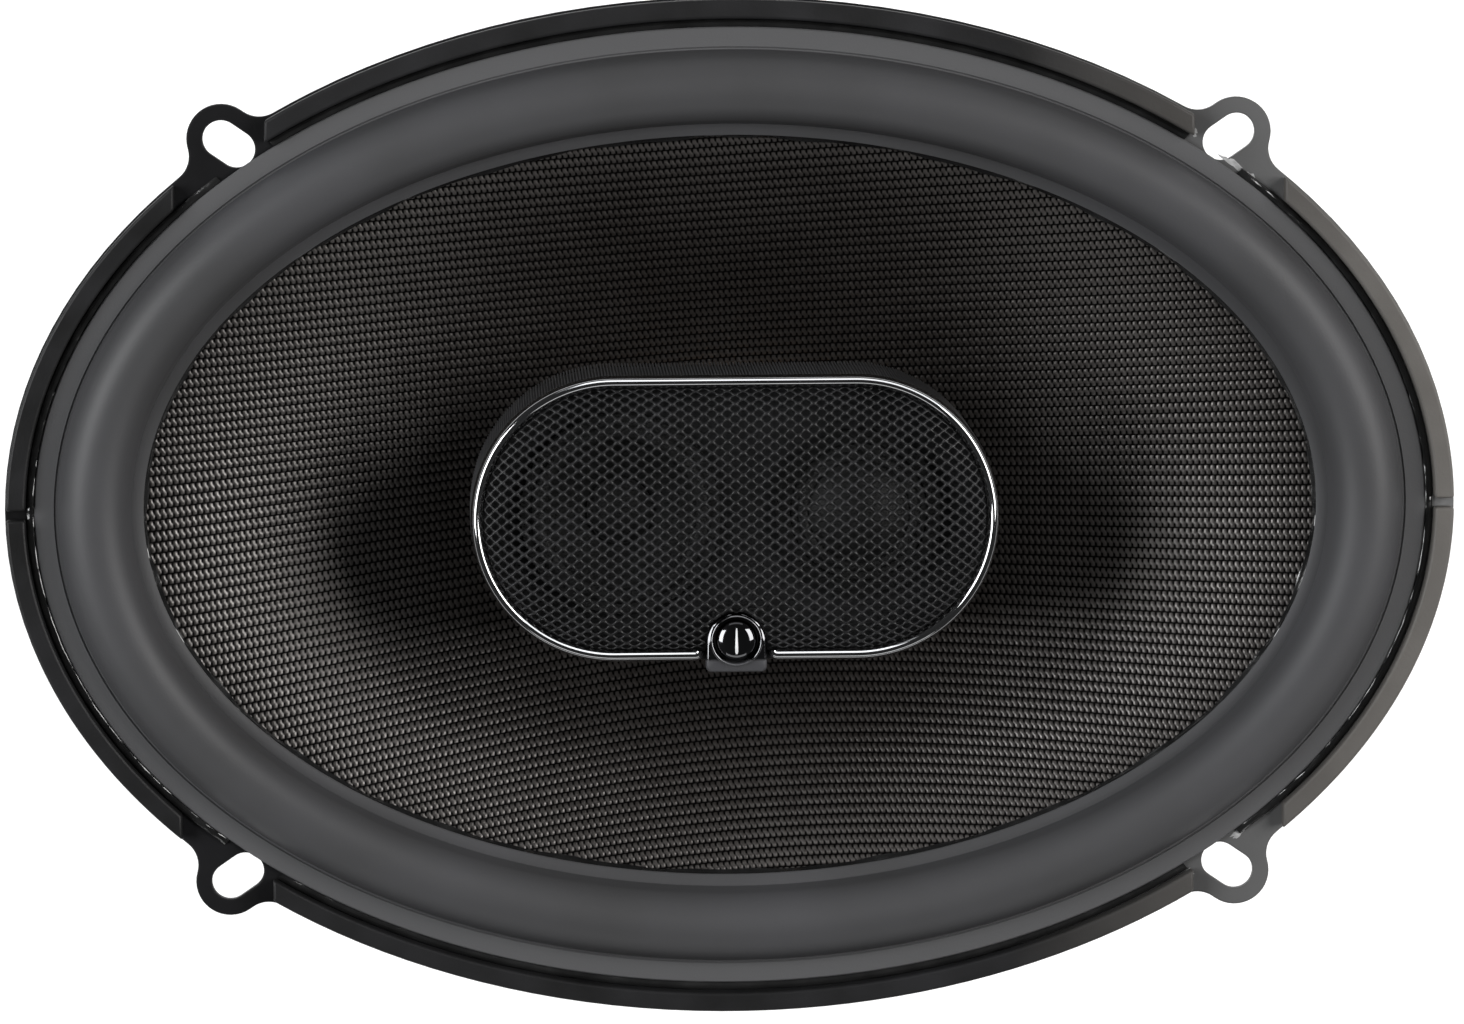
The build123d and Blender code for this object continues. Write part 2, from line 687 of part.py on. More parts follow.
# ================================================================ tweeter
save("tweeter_faceplate", turned(at_seat([
    (tweeter_roll_outer, -2.0), (tweeter_hole - 0.2, -2.0), (tweeter_hole - 0.2, 0.0),
    (tweeter_flange_radius, 0.0), (tweeter_flange_radius, 1.8), (11.2, 1.8), (11.2, 1.0),
    (tweeter_roll_outer, 1.0),
]), tweeter_x))
save("tweeter_yoke", seat_ring(11.4, 8.8, -7.8, -2.0, tweeter_x) + seat_disc(11.4, -9.0, -7.8, tweeter_x))
save("tweeter_magnet", seat_disc(7.2, -7.8, -4.0, tweeter_x))
save("tweeter_pole_plate", seat_disc(7.6, -4.0, -2.2, tweeter_x))
save("tweeter_former", seat_ring(8.1, 7.9, -3.8, dome_edge, tweeter_x))
save("tweeter_winding", seat_ring(8.5, 8.1, -3.8, -2.0, tweeter_x))
save("tweeter_dome", dome_shell(dome_radius, dome_height, 0.25, dome_edge, tweeter_x))
save("tweeter_surround", small_roll(dome_radius + 0.1, tweeter_roll_outer, 11.0, 1.0, 0.25, tweeter_x))
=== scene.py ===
import math

import bmesh
import bpy
import numpy as np
from mathutils import Matrix, Vector


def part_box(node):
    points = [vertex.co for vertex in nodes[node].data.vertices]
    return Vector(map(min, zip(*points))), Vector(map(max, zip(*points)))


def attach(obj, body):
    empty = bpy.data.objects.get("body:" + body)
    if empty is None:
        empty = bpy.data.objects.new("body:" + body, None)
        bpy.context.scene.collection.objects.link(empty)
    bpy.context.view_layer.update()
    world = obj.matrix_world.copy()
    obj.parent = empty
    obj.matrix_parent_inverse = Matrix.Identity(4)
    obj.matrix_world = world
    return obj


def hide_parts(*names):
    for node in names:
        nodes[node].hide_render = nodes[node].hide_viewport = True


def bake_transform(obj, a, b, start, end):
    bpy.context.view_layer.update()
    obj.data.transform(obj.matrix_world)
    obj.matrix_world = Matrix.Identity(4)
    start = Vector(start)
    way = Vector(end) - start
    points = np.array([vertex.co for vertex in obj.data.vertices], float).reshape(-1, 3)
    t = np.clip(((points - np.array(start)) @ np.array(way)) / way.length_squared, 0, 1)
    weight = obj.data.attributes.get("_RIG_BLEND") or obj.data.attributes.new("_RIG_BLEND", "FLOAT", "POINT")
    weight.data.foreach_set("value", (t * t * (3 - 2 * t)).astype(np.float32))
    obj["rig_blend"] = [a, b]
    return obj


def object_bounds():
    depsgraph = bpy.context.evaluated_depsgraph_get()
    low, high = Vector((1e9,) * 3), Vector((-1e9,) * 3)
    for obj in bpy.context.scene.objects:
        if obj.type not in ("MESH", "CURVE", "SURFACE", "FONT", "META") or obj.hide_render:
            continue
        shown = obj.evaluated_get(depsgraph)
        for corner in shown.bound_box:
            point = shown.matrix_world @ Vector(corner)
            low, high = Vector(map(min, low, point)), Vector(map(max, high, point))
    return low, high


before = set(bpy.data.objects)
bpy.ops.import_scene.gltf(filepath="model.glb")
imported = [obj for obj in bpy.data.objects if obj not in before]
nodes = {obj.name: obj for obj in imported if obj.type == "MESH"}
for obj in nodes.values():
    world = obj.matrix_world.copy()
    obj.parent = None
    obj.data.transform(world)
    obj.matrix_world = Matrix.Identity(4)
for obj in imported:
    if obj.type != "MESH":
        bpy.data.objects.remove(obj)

cad_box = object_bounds()

# ================================================================ studio
# A white lit table just under the magnet, a broad soft lamp on each side of the speaker,
# both a little beyond its top edge, and a dark room that is a little brighter towards the horizon.
scene = bpy.context.scene
scene.view_settings.view_transform = "Standard"
millimetre = 0.001


def put(tree, kind, feeds=(), **settings):
    """Adds a node to a tree; feeds gives its inputs a value, or the output that drives them."""
    node = tree.nodes.new(kind)
    for name, value in settings.items():
        setattr(node, name, value)
    for key, value in dict(feeds).items():
        if isinstance(value, bpy.types.NodeSocket):
            tree.links.new(value, node.inputs[key])
        else:
            node.inputs[key].default_value = value
    return node


table_half = 4.0
table_level = cad_box[0][2] - 0.0002
table_mesh = bpy.data.meshes.new("table_top")
table_corners = [(-table_half, -table_half), (table_half, -table_half), (table_half, table_half),
                 (-table_half, table_half)]
table_mesh.from_pydata([(x, y, table_level) for x, y in table_corners], [], [(0, 1, 2, 3)])
table = bpy.data.objects.new("table_top", table_mesh)
scene.collection.objects.link(table)
table_paint = bpy.data.materials.new("table_paint")
table_paint.use_nodes = True
table_shader = table_paint.node_tree.nodes["Principled BSDF"]
table_shader.inputs["Base Color"].default_value = (0.36, 0.36, 0.36, 1)
table_shader.inputs["Roughness"].default_value = 0.7
table_shader.inputs["Emission Color"].default_value = (1, 1, 1, 1)
table_shader.inputs["Emission Strength"].default_value = 0.82
table_mesh.materials.append(table_paint)

room = bpy.data.worlds.new("room")
room.use_nodes = True
scene.world = room
room_tree = room.node_tree
toward = put(room_tree, "ShaderNodeTexCoord").outputs["Generated"]
height = put(room_tree, "ShaderNodeSeparateXYZ", {0: toward}).outputs["Z"]
fade = put(room_tree, "ShaderNodeMapRange", {"Value": height, "From Min": 0.0, "From Max": 0.75,
                                              "To Min": 0.08, "To Max": 0.06})
room_light = room_tree.nodes["Background"]
room_tree.links.new(fade.outputs[0], room_light.inputs["Strength"])
room_light.inputs["Color"].default_value = (0.96, 0.98, 1.0, 1)


def lamp(name, place, size, power, colour):
    """Rectangular soft lamp that faces the speaker."""
    light = bpy.data.lights.new(name, "AREA")
    light.shape = "RECTANGLE"
    light.size, light.size_y = size
    light.energy = power
    light.color = colour
    stand = bpy.data.objects.new(name, light)
    stand.location = place
    stand.rotation_euler = Vector(place).to_track_quat("Z", "Y").to_euler()
    scene.collection.objects.link(stand)
    return stand


lamp("lamp_left", (-0.97, 0.20, 0.74), (0.85, 0.62), 19.0, (0.98, 0.99, 1.0))
lamp("lamp_right", (0.92, 0.26, 0.78), (0.80, 0.62), 18.0, (1.0, 0.99, 0.98))
lamp("lamp_top", (0.0, 1.15, 0.50), (1.1, 0.34), 0.9, (0.96, 0.98, 1.0))
lamp("lamp_near", (0.0, -1.1, 0.55), (1.4, 0.35), 2.4, (1.0, 1.0, 1.0))
# A tall card beyond the top edge is mirrored in the plated pieces only.
plated_pieces = bpy.data.collections.new("plated_pieces")
card = lamp("card_top", (0.34, 1.0, 0.70), (1.5, 0.66), 11.0, (0.97, 0.98, 1.0))
card.light_linking.receiver_collection = plated_pieces

# The camera stands over the speaker and leans a little past its top edge.
rim_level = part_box("rim_gasket_top")[1].z
camera_distance = 1.2
camera_lean = math.radians(6.5)
camera_side = math.radians(2.1)
camera_roll = math.radians(-0.3)
frame_width = 0.2377
sensor_width = 0.036
camera_aim = Vector((-0.0001, -0.0004, rim_level))
backward = Vector((-math.sin(camera_side), math.sin(camera_lean), math.cos(camera_lean))).normalized()
rightward = Vector((0, 1, 0)).cross(backward).normalized()
upward = backward.cross(rightward)
camera_turn = Matrix((rightward, upward, backward)).transposed().to_4x4()
camera_data = bpy.data.cameras.new("camera")
camera_data.sensor_width = sensor_width * 1000
camera_data.lens = sensor_width * 1000 * camera_distance / frame_width
camera = bpy.data.objects.new("camera", camera_data)
camera.matrix_world = (Matrix.Translation(camera_aim + backward * camera_distance) @ camera_turn
                       @ Matrix.Rotation(camera_roll, 4, "Z"))
scene.collection.objects.link(camera)
scene.camera = camera


def object_place(tree):
    return put(tree, "ShaderNodeTexCoord").outputs["Object"]


def mixed(tree, share, low, high):
    """Colour between two tones, by a share from 0 to 1."""
    feeds = {0: share, 6: low, 7: high}
    return put(tree, "ShaderNodeMix", feeds, data_type="RGBA").outputs[2]


def ranged(tree, value, low, high, start=0.3, end=0.7):
    feeds = {"Value": value, "From Min": start, "From Max": end, "To Min": low, "To Max": high}
    return put(tree, "ShaderNodeMapRange", feeds).outputs[0]


def grey(level, blue=0.0):
    return (level, level, level + blue, 1)


def combine(tree, operation, first, second):
    return put(tree, "ShaderNodeMath", {0: first, 1: second}, operation=operation).outputs[0]


def times(tree, first, second):
    return combine(tree, "MULTIPLY", first, second)


def times_plus(tree, value, factor, term):
    feeds = {0: value, 1: factor, 2: term}
    return put(tree, "ShaderNodeMath", feeds, operation="MULTIPLY_ADD").outputs[0]


def split(tree, place):
    """The X, Y and Z of a place."""
    return put(tree, "ShaderNodeSeparateXYZ", {0: place}).outputs


def finish(name, tones, gloss, grain=900.0, depth=0.00003, wander=45.0, metallic=0.0,
           edge=0.0, worn=None, stretch=None, sheen=0.0, coat=0.0, specular=0.5, painted_right_sheen=None):
    """Finish with two wandering tones, uneven roughness, a grain, and edges that are eased and rubbed.
    tones and gloss are (low, high); edge is the radius of the eased edges in metres; the last argument is the
    painted sheen: the tone that the finish takes on towards the right-hand end, where the right-hand lamp
    lights it."""
    material = bpy.data.materials.new(name)
    material.use_nodes = True
    tree = material.node_tree
    shader = tree.nodes["Principled BSDF"]
    place = object_place(tree)
    grain_place = place
    if stretch:
        grain_place = put(tree, "ShaderNodeMapping", {"Vector": place, "Scale": stretch}).outputs[0]
    cloud = put(tree, "ShaderNodeTexNoise", {"Vector": place, "Scale": wander, "Detail": 5.0}).outputs[0]
    fine = put(tree, "ShaderNodeTexNoise", {"Vector": grain_place, "Scale": grain, "Detail": 3.0}).outputs[0]
    colour = mixed(tree, ranged(tree, cloud, 0.0, 1.0), tones[0], tones[1])
    if painted_right_sheen:
        # Painted sheen: the colour grows lighter towards the right-hand end, standing in for the light of the
        # right-hand lamp.
        along = ranged(tree, split(tree, place)["X"], 0.0, 0.85, 0.045, 0.110)
        colour = mixed(tree, times(tree, along, ranged(tree, cloud, 0.8, 1.0)), colour, painted_right_sheen)
    bump = put(tree, "ShaderNodeBump", {"Strength": 1.0, "Distance": depth, "Height": fine})
    if edge:
        eased = put(tree, "ShaderNodeBevel", {"Radius": edge}, samples=4).outputs[0]
        tree.links.new(eased, bump.inputs["Normal"])
        if worn:
            flat = put(tree, "ShaderNodeNewGeometry").outputs["True Normal"]
            turned_away = put(tree, "ShaderNodeVectorMath", {0: eased, 1: flat}, operation="DOT_PRODUCT")
            rubbed = ranged(tree, turned_away.outputs["Value"], 0.55, 0.0, 0.80, 0.985)
            colour = mixed(tree, times(tree, rubbed, ranged(tree, cloud, 0.2, 1.0)), colour, worn)
    tree.links.new(colour, shader.inputs["Base Color"])
    tree.links.new(ranged(tree, cloud, gloss[0], gloss[1]), shader.inputs["Roughness"])
    tree.links.new(bump.outputs[0], shader.inputs["Normal"])
    shader.inputs["Metallic"].default_value = metallic
    shader.inputs["Sheen Weight"].default_value = sheen
    shader.inputs["Coat Weight"].default_value = coat
    shader.inputs["Specular IOR Level"].default_value = specular
    return material


def dress(material, *names):
    """The CAD nodes keep their shape and get this finish."""
    for name in names:
        mesh = nodes[name].data
        mesh.materials.clear()
        mesh.materials.append(material)


# The basket's coat is painted lighter towards the right-hand end: a painted sheen of the right-hand lamp on
# the ears and flange.
black_coat = finish("black_coat", (grey(0.003), grey(0.006, 0.001)), (0.40, 0.55), grain=420.0, depth=0.00006,
                    edge=0.0005, worn=grey(0.05), specular=0.15, painted_right_sheen=grey(0.165))
dress(black_coat, "basket")


def settle(mesh, sharp=35.0):
    """Closed seams, faces outward, smooth shading that breaks at sharp edges."""
    work = bmesh.new()
    work.from_mesh(mesh)
    bmesh.ops.remove_doubles(work, verts=work.verts, dist=1e-7)
    bmesh.ops.recalc_face_normals(work, faces=work.faces)
    work.to_mesh(mesh)
    work.free()
    mesh.shade_smooth()
    mesh.set_sharp_from_angle(angle=math.radians(sharp))
    return mesh


def skin(name, loops, ring=True, sharp=35.0):
    """Closed solid over loops of points in millimetres, all with as many points.
    ring joins the last loop to the first; otherwise both ends are capped."""
    loops = np.asarray(loops, float)
    count, size = loops.shape[:2]
    faces = []
    for here in range(count if ring else count - 1):
        there = (here + 1) % count
        for k in range(size):
            n = (k + 1) % size
            faces.append((here * size + k, here * size + n, there * size + n, there * size + k))
    if not ring:
        faces.append(tuple(range(size)))
        faces.append(tuple((count - 1) * size + k for k in range(size)))
    mesh = bpy.data.meshes.new(name)
    mesh.from_pydata((loops.reshape(-1, 3) * millimetre).tolist(), [], faces)
    return settle(mesh, sharp)


def show(name, mesh, material, body="frame_body", stands_for=()):
    """A finished mesh becomes a piece that rides on its body."""
    thing = bpy.data.objects.new(name, mesh)
    scene.collection.objects.link(thing)
    mesh.materials.clear()
    mesh.materials.append(material)
    if body:
        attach(thing, body)
    if stands_for:
        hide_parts(*stands_for)
    return thing


def soften(thing, width, segments=2):
    """Small rounding on every sharp edge."""
    bevel = thing.modifiers.new("rounding", "BEVEL")
    bevel.width = width * millimetre
    bevel.segments = segments
    bevel.limit_method = "ANGLE"
    bevel.angle_limit = math.radians(32)
    bevel.harden_normals = False
    return thing


def merged_copy(node, name):
    """The node's shape as one joined mesh, its flat faces whole."""
    mesh = nodes[node].data.copy()
    mesh.name = name
    work = bmesh.new()
    work.from_mesh(mesh)
    bmesh.ops.remove_doubles(work, verts=work.verts, dist=2e-6)
    bmesh.ops.dissolve_limit(work, angle_limit=math.radians(0.6), verts=work.verts, edges=work.edges)
    work.to_mesh(mesh)
    work.free()
    return settle(mesh)


# ================================================================ rim gasket
# Six moulded rubber strips stuck to the flange, with rounded ends beside the ears and a gap at mid height.
# They are pressed flat on top, dull with a soft shine, and a fine moulding line runs along them.
rim_half_length = (cad_box[1][0] - cad_box[0][0]) * 500
rim_half_width = 83.0
strip_names = ["top", "bottom", "left_upper", "left_lower", "right_upper", "right_lower"]
# The strips are painted a warmer, lighter grey towards the right-hand end: a painted sheen of the warm
# right-hand lamp.
strip_rubber = finish("strip_rubber", (grey(0.005), grey(0.010, 0.001)), (0.45, 0.60), grain=1500.0,
                      depth=0.00004, wander=70.0, specular=0.2, painted_right_sheen=(0.115, 0.108, 0.100, 1))
for strip in strip_names:
    node = f"rim_gasket_{strip}"
    mesh = merged_copy(node, f"strip_{strip}")
    soften(show(f"strip_{strip}", mesh, strip_rubber, stands_for=[node]), 0.45, 3)


def oval(turn, inset):
    """Point of the oval that runs a constant inset inside the rim."""
    return (rim_half_length - inset) * math.cos(turn), (rim_half_width - inset) * math.sin(turn)


def oval_sweep(name, outline, steps=360, span=None, sharp=35.0):
    """Solid whose outline of (inset, height) points runs round the rim, or along a span of it in turns."""
    first, last = span or (0.0, 2 * math.pi)
    count = steps if span is None else steps + 1
    loops = []
    for step in range(count):
        turn = first + (last - first) * step / steps
        points = outline(turn) if callable(outline) else outline
        loops.append([(*oval(turn, inset), z) for inset, z in points])
    return skin(name, loops, span is None, sharp)


# ================================================================ surround
# Butyl rubber half roll, moulded in one piece with its outer lip, glued down inside the gasket, and its
# inner lip, glued to the edge of the cone. It rolls out as the cone travels. The cement's solvent has
# greyed the outer lip.
flange_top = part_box("surround")[0].z / millimetre
roll_outer = 8.5
roll_inner = 20.4
roll_height = 6.6
lip_outer = 4.8
lip_inner = 22.4
lip_thickness = 0.9
cone_edge_z = -0.6
roll_middle = (roll_outer + roll_inner) / 2
roll_half = (roll_inner - roll_outer) / 2


def roll_line(thinner, steps=18):
    """Half round from the outer foot over the crest to the inner foot."""
    line = []
    for step in range(steps + 1):
        lift = math.pi * step / steps
        line.append((roll_middle - (roll_half - thinner) * math.cos(lift),
                     flange_top + (roll_height - thinner) * math.sin(lift) ** 0.92))
    return line


lip_top = flange_top + lip_thickness
roll_outside = [point for point in roll_line(0.0) if point[1] > lip_top - 0.2]
roll_inside = roll_line(lip_thickness)
surround_outline = [(lip_outer, flange_top), (lip_outer, lip_top - 0.2), (lip_outer + 0.2, lip_top)]
surround_outline += [(roll_outer - 0.55, lip_top), (roll_outer - 0.3, lip_top - 0.25),
                     (roll_outer - 0.05, lip_top - 0.25)]
surround_outline += roll_outside[1:-1]
surround_outline += [(roll_inner - 0.15, 1.7), (roll_inner + 0.15, 0.75), (lip_inner - 0.25, 0.45)]
surround_outline += [(lip_inner, 0.25), (lip_inner, cone_edge_z + 0.15)]
surround_outline += [(roll_inner - 0.1, cone_edge_z + 0.25), (roll_inner - 0.7, 0.6)]
surround_outline += roll_inside[-2:0:-1] + [(roll_outer + 0.6, flange_top + 0.02), (roll_outer, flange_top)]

surround_rubber = finish("surround_rubber", (grey(0.038, 0.001), grey(0.046, 0.003)), (0.46, 0.56),
                         grain=2600.0, depth=0.00002, wander=30.0, specular=0.25)
rubber_tree = surround_rubber.node_tree
rubber_shader = rubber_tree.nodes["Principled BSDF"]
to_foot = (1000 / (rim_half_length - roll_outer), 1000 / (rim_half_width - roll_outer), 0)
rubber_place = object_place(rubber_tree)
outward = put(rubber_tree, "ShaderNodeMapping", {"Vector": rubber_place, "Scale": to_foot}).outputs[0]
beyond_foot = put(rubber_tree, "ShaderNodeVectorMath", {0: outward}, operation="LENGTH").outputs["Value"]
on_lip = ranged(rubber_tree, beyond_foot, 0.0, 1.0, 1.0, 1.003)
rubber_tone = rubber_shader.inputs["Base Color"].links[0].from_socket
lip_tone = mixed(rubber_tree, on_lip, rubber_tone, grey(0.068, 0.002))
rubber_tree.links.new(lip_tone, rubber_shader.inputs["Base Color"])


def stretch_between(thing, body, start, end, weigh):
    """The piece is held by the frame at its outside and by its moving body at its inside."""
    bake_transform(thing, "frame_body", body, start=start, end=end)
    mesh = thing.data
    spots = np.zeros(len(mesh.vertices) * 3)
    mesh.vertices.foreach_get("co", spots)
    share = np.clip(weigh(spots.reshape(-1, 3) / millimetre), 0.0, 1.0)
    share = share * share * (3 - 2 * share)
    mesh.attributes["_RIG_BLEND"].data.foreach_set("value", share.astype(np.float32))


def halved(low, high, is_inside):
    """Where a test stops being true between low and high, found by halving, for many points at once."""
    for _ in range(40):
        middle = (low + high) / 2
        inside = is_inside(middle)
        low = np.where(inside, middle, low)
        high = np.where(inside, high, middle)
    return (low + high) / 2


def oval_inset(spots):
    """Inset of each point from the rim."""
    x, y = spots[:, 0], spots[:, 1]
    return halved(np.full(len(spots), -5.0), np.full(len(spots), 70.0), lambda inset: (
        (x / (rim_half_length - inset)) ** 2 + (y / (rim_half_width - inset)) ** 2 < 1))


surround = show("surround_roll", oval_sweep("surround_roll", surround_outline, 420), surround_rubber,
                body=None, stands_for=["surround"])
stretch_between(surround, "woofer_body", (0, 0.0745, 0.002), (0, 0.0625, 0.002),
                lambda spots: (oval_inset(spots) - roll_outer - 0.8) / (roll_inner - roll_outer - 1.2))

# ================================================================ woofer cone
# Glass fibre cloth, woven in double yarns and set in black resin, pressed to a flared oval and trimmed.
# The weave stands up from the resin, and the cloth is drawn in towards the middle, so its rows bow.
neck_radius = 17.25
cone_half_length = 97.2
cone_half_width = 62.2
cone_depth = 33.2
cone_flare = 1.3
cone_thickness = 0.7
yarn_across = 0.97
yarn_along = 1.54
weave_relief = 0.15


def cone_run(x, y):
    """How far out on the cone each point lies, from 0 at the neck to 1 at the edge."""
    return halved(np.full(x.shape, -0.19), np.full(x.shape, 1.3), lambda run: (
        (x / (neck_radius + (cone_half_length - neck_radius) * run)) ** 2
        + (y / (neck_radius + (cone_half_width - neck_radius) * run)) ** 2 > 1))


def cone_height(run):
    return cone_edge_z - cone_depth * (1 - np.clip(run, 0.0, 1.0)) ** cone_flare


def cone_surface(x, y):
    return cone_height(cone_run(x, y))


cone_outline_steps = 34
cone_outline = []
for step in range(cone_outline_steps + 1):
    run = (step / cone_outline_steps) ** 1.3
    cone_outline.append((run, float(cone_height(np.array([run]))[0])))


def cone_loop(turn):
    """Cut through the cone's wall at one turn: up the front face and back down behind it."""
    loop = []
    for drop, order in ((0.2, cone_outline), (cone_thickness, cone_outline[::-1])):
        for run, z in order:
            a = neck_radius + (cone_half_length - neck_radius) * run
            b = neck_radius + (cone_half_width - neck_radius) * run
            loop.append((a * math.cos(turn), b * math.sin(turn), z - drop))
    return loop


def weave_height(u, v):
    """Relief of the cloth from 0 to 1: pairs of knots a half step apart, and a gap between the pairs."""
    band = (0.5 - 0.5 * np.cos(2 * np.pi * v)) ** 0.3
    return band * (0.58 + 0.48 * np.cos(2 * np.pi * u) * np.sin(2 * np.pi * v))


columns = np.arange(-236, 237)
rows = np.arange(-190, 191)
lattice_u, lattice_v = np.meshgrid(columns / 2, rows / 4)
flat_x = lattice_u * yarn_across
flat_y = lattice_v * yarn_along
bow = np.clip(0.25 - flat_y / 50, 0.0, 1.0)
weave_x = flat_x - 0.05 * flat_y + 1.2 * np.sin(flat_y / 23)
weave_y = flat_y + 0.07 * flat_x - 6.8 * (1 - np.cos(flat_x / 50)) * bow
weave_run = cone_run(weave_x, weave_y)
step_x = (cone_surface(weave_x + 0.1, weave_y) - cone_surface(weave_x - 0.1, weave_y)) / 0.2
step_y = (cone_surface(weave_x, weave_y + 0.1) - cone_surface(weave_x, weave_y - 0.1)) / 0.2
steep = np.sqrt(1 + step_x ** 2 + step_y ** 2)
rise = weave_relief * weave_height(lattice_u, lattice_v) - 0.12
weave_z = cone_height(weave_run)
weave_points = np.stack([weave_x - rise * step_x / steep, weave_y - rise * step_y / steep,
                         weave_z + rise / steep], axis=-1)
kept = (weave_run > 0.012) & (weave_run < 0.996)
number = np.arange(kept.size).reshape(kept.shape)
whole = kept[:-1, :-1] & kept[1:, :-1] & kept[:-1, 1:] & kept[1:, 1:]
corners = np.stack([number[:-1, :-1][whole], number[:-1, 1:][whole], number[1:, 1:][whole],
                    number[1:, :-1][whole]], axis=-1)
used, corner_index = np.unique(corners, return_inverse=True)
cloth_mesh = bpy.data.meshes.new("cone_cloth")
cloth_mesh.from_pydata((weave_points.reshape(-1, 3)[used] * millimetre).tolist(), [],
                       corner_index.reshape(-1, 4).tolist())
cloth_mesh.shade_smooth()
cloth_map = cloth_mesh.uv_layers.new(name="yarns")
flat_uv = np.stack([lattice_u, lattice_v], axis=-1).reshape(-1, 2)[used]
loop_vertex = np.zeros(len(cloth_mesh.loops), int)
cloth_mesh.loops.foreach_get("vertex_index", loop_vertex)
cloth_map.data.foreach_set("uv", flat_uv[loop_vertex].astype(np.float32).ravel())


def waves(tree, value, turns, shift=0.0):
    """Cosine of a value that counts in whole turns."""
    angle = times_plus(tree, value, 2 * math.pi * turns, shift)
    return put(tree, "ShaderNodeMath", {0: angle}, operation="COSINE").outputs[0]


def woven_glass(name, place_from):
    """Black resin over grey glass yarn: pale on the knots, dark in the gaps, with fine filaments."""
    material = bpy.data.materials.new(name)
    material.use_nodes = True
    tree = material.node_tree
    shader = tree.nodes["Principled BSDF"]
    place = split(tree, place_from(tree))
    u, v = place["X"], place["Y"]
    gap = combine(tree, "MAXIMUM", times_plus(tree, waves(tree, v, 1), -0.5, 0.5), 0.0)
    band = combine(tree, "POWER", gap, 0.3)
    zigzag = times(tree, waves(tree, u, 1), waves(tree, v, 1, -math.pi / 2))
    knots = times_plus(tree, zigzag, 0.46, 0.60)
    slanted = times(tree, waves(tree, u, 1, math.pi / 2), 0.26)
    relief = times(tree, band, combine(tree, "ADD", knots, times(tree, slanted, band)))
    threads = waves(tree, v, 9)
    own = object_place(tree)
    uneven = put(tree, "ShaderNodeTexNoise", {"Vector": own, "Scale": 34.0, "Detail": 4.0}).outputs[0]
    speck = put(tree, "ShaderNodeTexNoise", {"Vector": own, "Scale": 1500.0, "Detail": 1.0}).outputs[0]
    pale = mixed(tree, ranged(tree, uneven, 0.0, 1.0, 0.35, 0.68), (0.0106, 0.0090, 0.0080, 1),
                 (0.0180, 0.0160, 0.0148, 1))
    colour = mixed(tree, ranged(tree, relief, 0.0, 1.0, 0.14, 0.60), (0.0014, 0.0013, 0.0013, 1), pale)
    lift = times_plus(tree, threads, 0.05, relief)
    bump = put(tree, "ShaderNodeBump", {"Strength": 1.0, "Distance": 0.00009, "Height": lift})
    tree.links.new(colour, shader.inputs["Base Color"])
    tree.links.new(ranged(tree, speck, 0.30, 0.46), shader.inputs["Roughness"])
    tree.links.new(bump.outputs[0], shader.inputs["Normal"])
    tree.links.new(ranged(tree, relief, 0.0, 1.0, 0.15, 0.54), shader.inputs["Specular IOR Level"])
    shader.inputs["Specular Tint"].default_value = (1.0, 0.95, 0.92, 1)
    return material


def yarn_map(tree):
    return put(tree, "ShaderNodeUVMap", uv_map="yarns").outputs[0]


def yarn_plain(tree):
    scale = (1000 / yarn_across, 1000 / yarn_along, 1)
    return put(tree, "ShaderNodeMapping", {"Vector": object_place(tree), "Scale": scale}).outputs[0]


cone_steps = 300
cone_mesh = skin("cone_shell", [cone_loop(2 * math.pi * k / cone_steps) for k in range(cone_steps)])
show("cone_shell", cone_mesh, woven_glass("glass_back", yarn_plain), "woofer_body",
     stands_for=["woofer_cone"])
show("cone_cloth", cloth_mesh, woven_glass("glass_front", yarn_map), "woofer_body")

# ---- a fine bead of black glue between the surround's inner lip and the cloth
glue_black = finish("glue_black", (grey(0.006), grey(0.011)), (0.10, 0.26), grain=700.0, depth=0.00010,
                    wander=260.0, coat=0.4)


def cone_glue_outline(turn):
    """Small uneven fillet that creeps out over the cloth."""
    creep = 0.55 + 0.14 * math.sin(23 * turn) + 0.10 * math.sin(57 * turn + 1.0)
    edge = float(cone_height(np.array([(rim_half_length - lip_inner - neck_radius)
                                       / (cone_half_length - neck_radius)]))[0])
    return [(lip_inner - 0.3, edge), (lip_inner - 0.3, edge + 0.85), (lip_inner + 0.08, edge + 0.62),
            (lip_inner + 0.5 * creep, edge + 0.30), (lip_inner + creep, edge + 0.02),
            (lip_inner + creep, edge - 0.25)]


cone_glue = oval_sweep("cone_glue", cone_glue_outline, 420)
show("cone_glue", cone_glue, glue_black, "woofer_body")

# ================================================================ adhesive bead
# Black contact glue squeezed out in the groove between the gasket and the surround's lip.
# It is laid by hand: it swells, thins, and stands in glossy blobs beside the ears on the right.
bead_outer = 3.5
bead_inner = 4.95
bead_blobs = [(0.632, 1.0), (0.612, 0.6), (0.70, 0.5), (0.735, 0.75), (5.68, 0.8), (5.64, 0.5), (2.46, 0.4),
              (3.85, 0.35)]
slot_x = 81.0
slot_y = 59.8
slot_turn = math.atan2(slot_y / 83.0, slot_x / 118.0)
slot_turns = [slot_turn, math.pi - slot_turn, math.pi + slot_turn, 2 * math.pi - slot_turn]
slot_clear = 0.052


